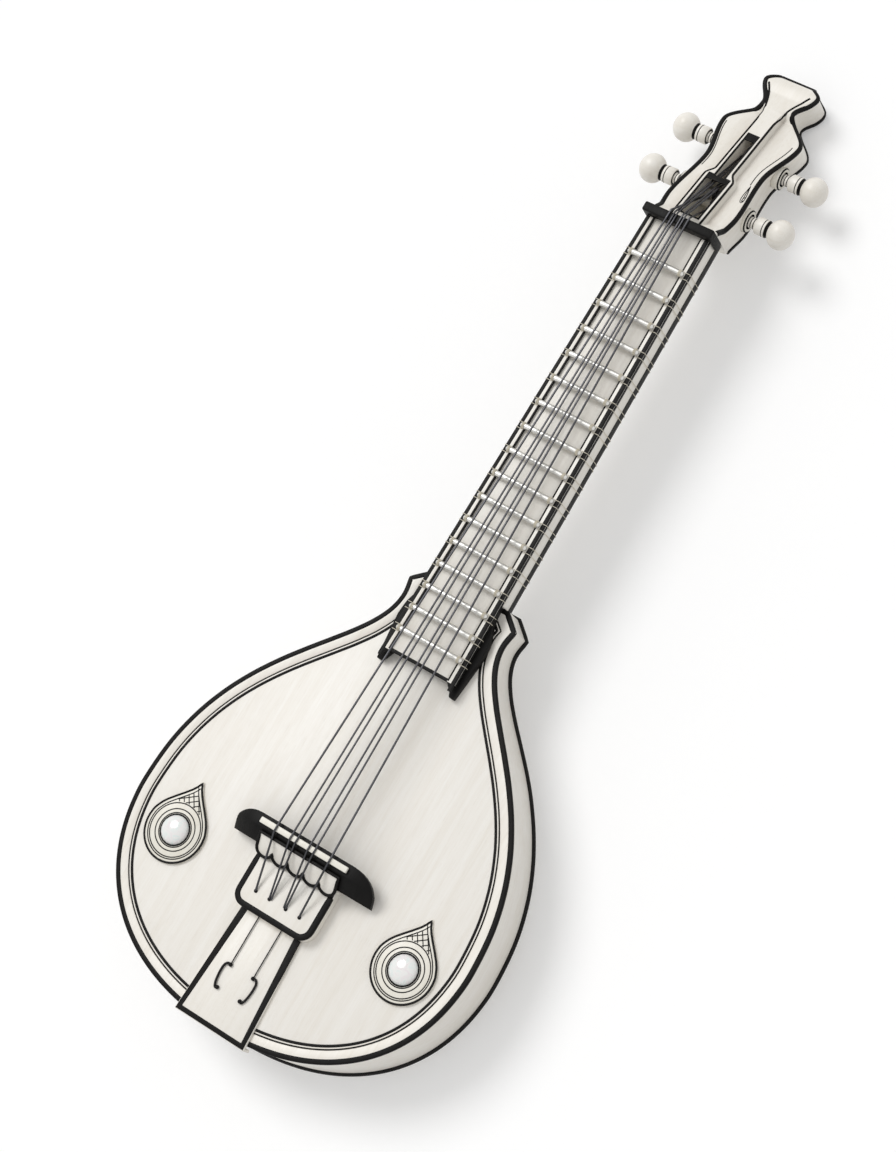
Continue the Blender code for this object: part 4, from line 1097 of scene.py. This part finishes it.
# %% Studs at the string ends
STUD, STUD_BACK, STUD_SINK = 0.0020, 0.0007, 0.0009

studs, ends, out = open_tree("studs", (("Radius", "Float"), ("Flatness", "Vector")))
globe = {"Segments": 20, "Rings": 10, "Radius": ends["Radius"]}
dome = put(studs, "GeometryNodeMeshUVSphere", globe)["Mesh"]
setting = {"Points": ends["Path"], "Instance": dome, "Scale": ends["Flatness"]}
close_tree(studs, put(studs, "GeometryNodeInstanceOnPoints", setting)["Instances"], ends, out)
stud_spots = [
    Vector((x, HOLDER_END - STUD_BACK, AT_HOLDER - STUD_SINK)) for x in (-OUTER[0], -FAR[0], FAR[0], OUTER[0])
]
mesh = grown(studs, runs(stud_spots), ebony, Radius=STUD, Flatness=(1.0, 1.0, 0.75))
piece("string_end_studs", mesh, "body")
print(f"studs: {len(stud_spots)}")

# %% [markdown]
# ## Head
#
# The head is carved from one block: a raised spine between lobed cheeks, flaring out into the scroll. A
# carver works to templates, and so does the code: a few widths along the head, eased into each other, give
# a section at any place. Many rounded sections are skinned, then the string slot and the seats for the pegs
# are cut with Booleans, as a chisel and a reamer would.

# %% Templates of the head
HEAD_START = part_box("headstock")[0].y
HEAD_LENGTH, SCROLL_RADIUS, SCROLL_CUT = 0.200, 0.022, 0.97
SCROLL_CENTRE = HEAD_LENGTH - SCROLL_RADIUS
HEAD_STEPS, SCROLL_STEPS = 84, 14
HEAD_WIDTHS = (
    (0.0, 0.038), (0.027, 0.041), (0.082, 0.0355), (0.131, 0.0465), (0.164, 0.0195), (0.190, 0.0325),
    (0.2, 0.0215),
)
SPINE_WIDTHS = ((0.0, 0.016), (0.060, 0.016), (0.071, 0.0098), (0.152, 0.0092), (0.176, 0.018))
CHEEK_STEPS = ((0.0, 0.0), (0.012, 0.008), (0.152, 0.008), (0.164, 0.0))
TOP_ROUND, BACK_ROUND, SPINE_SLOPE = 0.005, 0.007, 0.003


def head_top(place):
    """Height of the spine along the head."""
    if place > SCROLL_CENTRE:
        return SCROLL_RADIUS * (1 + (1 - ((place - SCROLL_CENTRE) / SCROLL_RADIUS) ** 4) ** 0.25)
    return board_high.z + (2 * SCROLL_RADIUS - board_high.z) * place / SCROLL_CENTRE


def head_back(place):
    """Height of the head's back along the head."""
    if place > SCROLL_CENTRE:
        return SCROLL_RADIUS - math.sqrt(SCROLL_RADIUS ** 2 - (place - SCROLL_CENTRE) ** 2)
    return NECK_BACK * (1 - place / SCROLL_CENTRE)


def head_measures(place):
    """Half width, spine, cheek, top and back heights and the two roundings at a place."""
    top, back, half = head_top(place), head_back(place), eased(HEAD_WIDTHS, place)
    round_top, round_back = (min(bend, (top - back) / 4) for bend in (TOP_ROUND, BACK_ROUND))
    spine = min(eased(SPINE_WIDTHS, place), half - round_top - 2 * SPINE_SLOPE)
    return half, spine, top - eased(CHEEK_STEPS, place), top, back, round_top, round_back


def head_section(place):
    """A rounded section of the head."""
    half, spine, cheek, top, back, round_top, round_back = head_measures(place)
    right = []
    for swing in quarter(5):
        right.append((half - round_back * (1 - math.sin(swing)), back + round_back * (1 - math.cos(swing))))
    for swing in quarter(5):
        right.append((half - round_top * (1 - math.cos(swing)), cheek - round_top * (1 - math.sin(swing))))
    for step in range(5):
        share = step / 4
        right.append((spine + SPINE_SLOPE * (1 - share), eased(((0.0, cheek), (1.0, top)), share)))
    left = [(-x, z) for x, z in reversed(right)]
    return [Vector((x, HEAD_START + place, z)) for x, z in right + left]


stations = [SCROLL_CENTRE * step / HEAD_STEPS for step in range(HEAD_STEPS)]
scroll = SCROLL_RADIUS * SCROLL_CUT
stations += [SCROLL_CENTRE + scroll * math.sin(swing) for swing in quarter(SCROLL_STEPS)]
print(f"head: {len(stations)} sections")

# %% Spinning a profile
TURN_STEPS = 40


def full_turn(steps):
    """Angles once round in even steps."""
    return [2 * math.pi * step / steps for step in range(steps)]


def spun(profile, side, axis_y, axis_z, *finishes):
    """Spin a profile of (distance along the axis, radius, finish) round a peg's axis."""
    bm = bmesh.new()
    rows = []
    for along, radius, _ in profile:
        swings = full_turn(TURN_STEPS) if radius > 1e-6 else [0.0]
        spots = [(axis_y + radius * math.cos(swing), axis_z + radius * math.sin(swing)) for swing in swings]
        rows.append([bm.verts.new((side * along, y, z)) for y, z in spots])
    for (first, second), (_, _, finish) in zip(zip(rows, rows[1:]), profile[1:]):
        for step in range(TURN_STEPS):
            lower = (first[step - 1], first[step]) if len(first) > 1 else (first[0],)
            upper = (second[step], second[step - 1]) if len(second) > 1 else (second[0],)
            bm.faces.new(lower + upper).material_index = finish
    bmesh.ops.remove_doubles(bm, verts=bm.verts, dist=1e-7)
    bmesh.ops.recalc_face_normals(bm, faces=bm.faces)
    return as_mesh(bm, *finishes)


print("lathe ready")

# %% Cutters for the head
SLOT_WIDE, SLOT_NARROW, SLOT_FLOOR, SLOT_SKIN = 0.012, 0.006, 0.008, 0.0002
SLOT_START, SLOT_STEP, SLOT_END = 0.008, 0.062, 0.122
PEG_TIPS, TIP_ROOM = {"lower": -0.018, "upper": -0.012}, 0.0004
SEAT_START, SEAT_END, SEAT_RADIUS = 0.036, 0.055, 0.0124
SLEEVE_RADIUS, SHAFT_HOLE = 0.0071, 0.0049


def upright_block(start, end, half, low, high, finish):
    """A block along the head between two heights, each given for a place."""
    rings = []
    for place in (start, end):
        section = ((-half, low(place)), (half, low(place)), (half, high(place)), (-half, high(place)))
        rings.append([Vector((x, HEAD_START + place, z)) for x, z in section])
    return lofted(rings, finish)


def slot_floor(place):
    """Height of the slot's floor."""
    return head_back(place) + SLOT_FLOOR


def over_head(place):
    """A height well clear of the spine."""
    return head_top(place) + SLOT_FLOOR


def peg_hole(row):
    """Profile of a peg's seat, sleeve and blind hole."""
    blind = PEG_TIPS[row] - TIP_ROOM
    steps = (
        (SEAT_END, 0.0), (SEAT_END, SEAT_RADIUS), (SEAT_START, SEAT_RADIUS), (SEAT_START, SLEEVE_RADIUS),
        (0.0, SLEEVE_RADIUS), (0.0, SHAFT_HOLE), (blind, SHAFT_HOLE), (blind, 0.0),
    )
    return [(along, radius, 0) for along, radius in steps]


stretches = ((SLOT_START, SLOT_STEP, SLOT_WIDE), (SLOT_STEP - SLOT_FLOOR, SLOT_END, SLOT_NARROW))
cutters = [upright_block(*stretch, slot_floor, over_head, pale_wood) for stretch in stretches]
cutters += [spun(peg_hole(row), side, y, z, pale_wood) for row, side, y, z in PEGS.values()]
print(f"head: {len(cutters)} cutters")

# %% Head block
def in_slot(spot):
    """Whether a spot of the head lies on the floor or a wall of the slot."""
    along = spot.y - HEAD_START
    place = min(SLOT_END, along)
    deep = slot_floor(place) - SLOT_SKIN < spot.z < head_top(place) - SLOT_SKIN
    between = SLOT_START - SLOT_SKIN < along < SLOT_END + SLOT_SKIN
    return deep and between and abs(spot.x) < SLOT_WIDE + SLOT_SKIN


carved = added("head_work", lofted([head_section(place) for place in stations], pale_wood))
tools = [added(f"cut_{number}", cutter) for number, cutter in enumerate(cutters)]
for tool in tools:
    cut = carved.modifiers.new(tool.name, "BOOLEAN")
    cut.operation, cut.solver, cut.object = "DIFFERENCE", "EXACT", tool
head_mesh = evaluated(carved)
for tool in tools:
    bpy.data.objects.remove(tool, do_unlink=True)
head_mesh.materials.clear()
head_mesh.materials.append(pale_wood)
head_mesh.materials.append(slot_wood)
for face in head_mesh.polygons:
    face.material_index = 1 if in_slot(face.center) else 0
piece("head_block", head_mesh, "body", ["headstock"], sharp=32)
print(f"head: {len(head_mesh.polygons)} faces after {len(cutters)} cuts")

# %% [markdown]
# ## Lines on the head
#
# The drawing outlines the head in black. Stringing takes those lines: along the upper and lower edge of
# its sides and round the scroll, along both edges of the spine, which fan out into the scroll, and round
# the string slot, with a black cap across the upper end of each stretch of the slot. A small leaf is cut
# beside the lower right peg.

# %% Lines along the head's edges
SUNK = 0.0014
# The left edge is seen from above, the right edge from the side.
SEEN_ABOVE, SEEN_ASIDE = math.radians(62), math.radians(32)


def mirrored(path):
    """The path on the other side of the middle."""
    return [Vector((-point.x, point.y, point.z)) for point in path]


def edge_line(lean, upper):
    """A line along one rounded edge of the head's right side, leaning towards the top or the back."""
    path = []
    for place in stations[1:]:
        half, _, cheek, _, back, round_top, round_back = head_measures(place)
        bend, height, way = round_back, back + round_back, -1
        if upper:
            bend, height, way = round_top, cheek - round_top, 1
        aside, up = (bend - SUNK) * math.cos(lean), (bend - SUNK) * math.sin(lean)
        path.append(Vector((half - bend + aside, HEAD_START + place, height + way * up)))
    return path


cheek_path = edge_line(SEEN_ASIDE, True) + mirrored(reversed(edge_line(SEEN_ABOVE, True)))
under_path = edge_line(SEEN_ASIDE, False) + mirrored(reversed(edge_line(SEEN_ASIDE, False)))
line("head_cheek_line", runs(cheek_path), width=0.0058, height=0.0050, ease=0.4)
line("head_under_line", runs(under_path), width=0.0066, height=0.0066, ease=0.4)
print("head: upper and lower edge lines")

# %% Lines on the head's face
FAN_START, FAN_END, FAN_REACH, FAN_CURVE = 0.140, 0.188, 0.0251, 2.2
SPINE_OUT, CONTOUR_IN, CONTOUR_START, CONTOUR_END = 0.0003, 0.0072, 0.068, 0.130
SPINE_SINK, CONTOUR_SINK, LEAF_SINK = 0.0004, 0.0002, 0.0001
SLOT_PROUD, CAP_PROUD, CAP_DEPTH = -0.0003, 0.0003, 0.0024
CAPS = (("wide", SLOT_WIDE, SLOT_STEP, 0.006), ("narrow", SLOT_NARROW, SLOT_END, 0.008))
LEAF_PLACE, LEAF_OUT, LEAF_LENGTH, LEAF_HALF, LEAF_LEAN, LEAF_STEPS = 0.058, 0.0315, 0.0110, 0.0030, 0.12, 24


def on_head(place, x, sink):
    """A point sunk into the head's upper surface, at a place along it and a distance from the middle."""
    half, spine, cheek, top, _, round_top, _ = head_measures(place)
    away = abs(x)
    z = top
    if away > half - round_top:
        z = cheek - round_top + math.sqrt(max(0.0, round_top ** 2 - (away - half + round_top) ** 2))
    elif away > spine:
        z = cheek + (top - cheek) * eased(((0.0, 1.0), (SPINE_SLOPE, 0.0)), away - spine)
    return Vector((x, HEAD_START + place, z - sink))


spine_path, contour = [], []
for place in stations[1:]:
    if place <= FAN_END:
        fan = max(0.0, (place - FAN_START) / (FAN_END - FAN_START)) ** FAN_CURVE
        edge = head_measures(min(place, FAN_START))[1] + SPINE_OUT
        spine_path.append(on_head(place, edge + (FAN_REACH - edge) * fan, SPINE_SINK))
    if CONTOUR_START < place < CONTOUR_END:
        contour.append(on_head(place, head_measures(place)[0] - CONTOUR_IN, CONTOUR_SINK))
line("head_spine_lines", runs(spine_path, mirrored(spine_path)), width=0.0022, height=0.0018)
line("head_contours", runs(contour, mirrored(contour)), width=0.0010, height=0.0009)

half_slot = (
    (-SLOT_WIDE, SLOT_START), (-SLOT_WIDE, SLOT_STEP), (-SLOT_NARROW, SLOT_STEP), (-SLOT_NARROW, SLOT_END),
)
slot_path = [Vector((x, HEAD_START + place, head_top(place) + SLOT_PROUD)) for x, place in half_slot]
line("slot_line", rounds(slot_path + mirrored(reversed(slot_path))), width=0.0026, height=0.0018)
for name, half, end, depth in CAPS:
    cap = upright_block(
        end - depth, end, half, lambda place: head_top(place) - CAP_DEPTH,
        lambda place: head_top(place) + CAP_PROUD, ebony,
    )
    piece(f"slot_cap_{name}", eased_edges(cap, 0.0006), "body")

leaf = []
for swing in full_turn(LEAF_STEPS):
    ahead = LEAF_LENGTH * math.cos(swing)
    fullness = LEAF_HALF * math.sin(swing) * (0.55 - 0.45 * math.cos(swing))
    leaf.append(on_head(LEAF_PLACE + ahead, LEAF_OUT + fullness - LEAF_LEAN * ahead, LEAF_SINK))
point, stalk = leaf[0], leaf[LEAF_STEPS // 2]
veins = [[point.lerp(stalk, 0.12), point.lerp(stalk, 0.9)]]
veins += [[leaf[step].lerp(leaf[LEAF_STEPS - step], 0.5), leaf[step - 1]] for step in (8, 10)]
line("head_leaf", rounds(leaf) + runs(*veins), width=0.0008, height=0.0008)
print("head: spine, contour and slot lines, two caps, leaf")

# %% [markdown]
# ## Pegs and bushes
#
# Pegs are turned on a lathe: a ball, a collar, a slim stem with fine dark rings burnt in with a wire, then
# the tapered shaft. Each turns in a bone bush with a raised lip. A turned piece is one profile spun round
# the peg's axis. A peg rides on its own body and spins about that axis, so it is a true body of revolution.

# %% Peg and bush profiles
STEM_START, COLLAR_START, KNOB_START = 0.0413, 0.0533, 0.0663
KNOB_RADIUS, KNOB_LENGTH, KNOB_STEPS = 0.0155, 0.028, 18
STEM, COLLAR, GROOVE = 0.0058, 0.0092, 0.0006
STEM_RINGS, COLLAR_RING = (0.0035, 0.0065, 0.0095), 0.0090
BUSH_START, BUSH_SEAT, BUSH_FACE, BUSH_LIP = 0.0263, 0.0363, 0.0410, 0.0448
BUSH_BORE, BUSH_SLEEVE, LIP_BORE, BUSH_EDGE = 0.0049, 0.0068, 0.0080, 0.012
BUSH_PROFILE = (
    (BUSH_START, BUSH_BORE, 0), (BUSH_START, BUSH_SLEEVE, 0), (BUSH_SEAT, BUSH_SLEEVE, 0),
    (BUSH_SEAT, BUSH_EDGE - 0.0006, 0), (BUSH_SEAT + 0.0008, BUSH_EDGE, 0), (BUSH_LIP - 0.0013, BUSH_EDGE, 0),
    (BUSH_LIP - 0.0007, BUSH_EDGE - 0.0003, 1), (BUSH_LIP, BUSH_EDGE - 0.0013, 1), (BUSH_LIP, LIP_BORE, 0),
    (BUSH_FACE, LIP_BORE, 1), (BUSH_FACE, BUSH_BORE, 0), (BUSH_START, BUSH_BORE, 0),
)


def ringed(along, radius):
    """A narrow dark groove at a place along the axis."""
    deep = radius - GROOVE
    return [
        (along - 0.0005, radius, 0), (along - 0.0003, deep, 1), (along + 0.0003, deep, 1),
        (along + 0.0005, radius, 1),
    ]


def peg_profile(tip):
    """Tip, shaft, ringed stem, beaded collar and ball."""
    profile = [(tip, 0.0, 0), (tip, 0.0032, 0), (tip + 0.0006, 0.0038, 0), (STEM_START, SHAFT, 0)]
    profile += [(STEM_START, STEM - 0.0005, 0), (STEM_START + 0.0005, STEM, 0)]
    for along in STEM_RINGS:
        profile += ringed(STEM_START + along, STEM)
    profile += [(COLLAR_START, STEM, 0), (COLLAR_START, COLLAR - 0.0010, 1)]
    profile += [(COLLAR_START + 0.0010, COLLAR, 0), *ringed(COLLAR_START + COLLAR_RING, COLLAR)]
    profile += [(KNOB_START - 0.0012, COLLAR, 0), (KNOB_START, COLLAR - 0.0012, 1)]
    middle = KNOB_START + KNOB_LENGTH / 2
    first = math.asin((COLLAR - 0.0004) / KNOB_RADIUS)
    for step in range(KNOB_STEPS + 1):
        swing = first + (math.pi - first) * step / KNOB_STEPS
        radius = KNOB_RADIUS * math.sin(swing) if step < KNOB_STEPS else 0.0
        profile.append((middle - KNOB_LENGTH / 2 * math.cos(swing), radius, 1 if step == 0 else 0))
    return profile


print("profiles: peg and bush")

# %% Pegs and bushes
for name, (row, side, y, z) in PEGS.items():
    mesh = spun(peg_profile(PEG_TIPS[row]), side, y, z, peg_wood, ebony)
    piece(f"peg_{name}_turned", mesh, f"peg_{name}", [f"peg_{name}"], sharp=45)
    mesh = spun(BUSH_PROFILE, side, y, z, bone, ebony)
    piece(f"bush_{name}", mesh, "body", [f"peg_bush_{name}"], sharp=45)
print(f"pegs: {len(PEGS)} turned pegs in bone bushes")

# %% [markdown]
# ## Bridge
#
# The bridge is the black half-moon under the strings: its brim sweeps back and droops at the wings. The
# strings cross on a strip of bone. The solids have these forms, so they are copied with eased edges.

# %% Bridge
piece("bridge_brim", finer("bridge_base", ebony, 0.0009), "body", ["bridge_base"])
piece("bridge_strip", finer("bridge_top", bone, 0.0009, 3), "body", ["bridge_top"])
print("bridge: brim and strip")

# %% [markdown]
# ## Tail
#
# Behind the bridge five round-ended tabs lie on the brim like an apron. The strings end on the holder under
# it, and a plate runs on over the tail. All are pale with broad black edges, which are stringing along
# the edge of each upper face. Two wires end in little black hooks with a ball on each end.

# %% Apron, holder and plate
APRON_LEAN = math.radians(34)
APRON_UP = Vector((0.0, -math.sin(APRON_LEAN), math.cos(APRON_LEAN)))
HOLDER_IN, HOLDER_SINK = 0.0029, 0.0018
PLATE_LINE, PLATE_OUT, PLATE_BACK, PLATE_SINK = 0.0076, 0.0004, 0.0006, 0.0008


def upper_edge(node, least, facing=UP):
    """The smoothed edge of a solid's upper face."""
    edge = rims(node, facing)[0]
    return smooth(edge, corners(edge, least), 3)


piece("apron_tabs", finer("tail_apron", pale_wood, 0.0004), "body", ["tail_apron"])
line("apron_line", rounds(upper_edge("tail_apron", 50, APRON_UP)), width=0.0032, height=0.0022)

piece("holder_block", finer("string_holder", pale_wood, 0.0008), "body", ["string_holder"])
holder_path = inset(upper_edge("string_holder", 40), HOLDER_IN)
holder_path = at_height(holder_path, holder_path[0].z - HOLDER_SINK)
line("holder_line", rounds(holder_path), width=0.0066, height=0.0044)

piece("tail_plate_wood", finer("tail_plate", pale_wood, 0.0006), "body", ["tail_plate"])
plate = sorted(rims("tail_plate")[0], key=lambda point: point.y)
tail_left, top_left = (min(pair, key=lambda point: point.x) for pair in (plate[:2], plate[2:]))
aside = Vector((PLATE_LINE / 2 - PLATE_OUT, 0.0, -PLATE_SINK))
half_path = [top_left + aside, tail_left + aside + Vector((0.0, PLATE_LINE / 2 - PLATE_BACK, 0.0))]
line("tail_plate_line", runs(half_path + mirrored(reversed(half_path))), PLATE_LINE, height=0.0024)
print("tail: apron, holder, plate")

# %% Tail wires and hooks
HOOK = (
    (0.0, 0.0), (0.0034, -0.0002), (0.0058, 0.0034), (0.0062, 0.0095), (0.0056, 0.0165), (0.0044, 0.0222),
    (0.0024, 0.0258), (0.0002, 0.0250),
)
HOOK_OUT, HOOK_START, BEND_STEPS = 0.014, -0.135, 6
THIN_WIRE, HOOK_WIRE, HOOK_BALL = 0.0006, 0.0012, 0.0022

last = len(HOOK) - 1
bend = smooth([Vector(knot) for knot in HOOK], {0, last}, BEND_STEPS)[:last * BEND_STEPS + 1]
for side, hand in HANDS.items():
    low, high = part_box(f"tail_wire_{hand}")
    z = (low.z + high.z) / 2
    straight = [Vector((side * HOOK_OUT, y, z)) for y in (high.y, HOOK_START)]
    hook = [Vector((side * (HOOK_OUT + away), HOOK_START - down, z)) for away, down in bend]
    thin = grown(wire, runs(straight), black_iron, Radius=THIN_WIRE, Sides=10, Ball=THIN_WIRE)
    thick = grown(wire, runs(hook), black_iron, Radius=HOOK_WIRE, Sides=12, Ball=HOOK_BALL)
    piece(f"tail_hook_{hand}", joined([thin, thick]), "body", [f"tail_wire_{hand}"])
print("tail: two wires with hooks")

# %% [markdown]
# ## Rosettes
#
# Two drop-shaped plates are let into the soundboard. Each has a dark outline, dark rings round a domed
# pearl and a small lattice in its point. Rings and lattice are paths for the stringing tree once more.

# %% Rings and lattice
LATTICE_LEANS, LATTICE_STEP, LATTICE_ROWS = (35, -55), 0.0052, 12
LATTICE_REACH, LATTICE_SPOTS, LATTICE_START, RING_CLEAR = 0.06, 120, 0.006, 0.0285
SPOTS_LEAST, SPOTS_KEPT = 6, 4


def ring_path(centre, radius, z, steps=56):
    """A level circle."""
    return [
        Vector((centre.x + radius * math.cos(swing), centre.y + radius * math.sin(swing), z))
        for swing in full_turn(steps)
    ]


def within(loop, x, y):
    """Whether a point lies inside a closed level loop."""
    hits = 0
    for a, b in zip(loop, loop[1:] + loop[:1]):
        if (a.y > y) != (b.y > y) and x < a.x + (b.x - a.x) * (y - a.y) / (b.y - a.y):
            hits += 1
    return hits % 2 == 1


def lattice(drop, centre, z):
    """Crossed lines that fill the point of the drop, clear of the rings."""
    paths = []
    for lean in LATTICE_LEANS:
        ahead = Vector((math.cos(math.radians(lean)), math.sin(math.radians(lean))))
        aside = Vector((-ahead.y, ahead.x))
        for row in range(-LATTICE_ROWS, LATTICE_ROWS + 1):
            path = []
            for step in range(-LATTICE_SPOTS, LATTICE_SPOTS + 1):
                away = ahead * (LATTICE_REACH * step / LATTICE_SPOTS) + aside * (LATTICE_STEP * row)
                spot = centre.xy + away
                clear = away.length > RING_CLEAR and away.y > LATTICE_START
                if clear and within(drop, spot.x, spot.y):
                    path.append(Vector((spot.x, spot.y, z)))
                elif path:
                    paths.append(path)
                    path = []
    return runs(*(path[::SPOTS_KEPT] + [path[-1]] for path in paths if len(path) > SPOTS_LEAST))


print("rosette helpers ready")

# %% Rosettes
OUTLINE_IN, BORDER_IN, ROSETTE_SINK = 0.0009, 0.0045, 0.0002
RING_RADII, COLLAR_RADIUS = (0.0175, 0.0215, 0.0275), 0.0156

for hand in HANDS.values():
    plate, boss = f"rosette_{hand}", f"rosette_boss_{hand}"
    centre = sum(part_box(boss), Vector()) / 2
    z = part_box(plate)[1].z - ROSETTE_SINK
    piece(f"rosette_plate_{hand}", finer(plate, bone, 0.0005), "body", [plate])
    drop = upper_edge(plate, 40)
    border = at_height(inset(drop, BORDER_IN), z)
    rings = [ring_path(centre, radius, z) for radius in RING_RADII]
    outline = at_height(inset(drop, OUTLINE_IN), z)
    line(f"rosette_outline_{hand}", rounds(outline), width=0.0022, height=0.0012)
    line(f"rosette_rings_{hand}", rounds(*rings, border), width=0.0012, height=0.0009)
    line(f"rosette_lattice_{hand}", lattice(border, centre, z), width=0.0011, height=0.0008)
    collar = ring_path(centre, COLLAR_RADIUS, z)
    line(f"rosette_collar_{hand}", rounds(collar), width=0.0020, height=0.0012)
    piece(f"rosette_pearl_{hand}", finer(boss, pearl, 0.0), "body", [boss], sharp=60)
print("rosettes: 2")
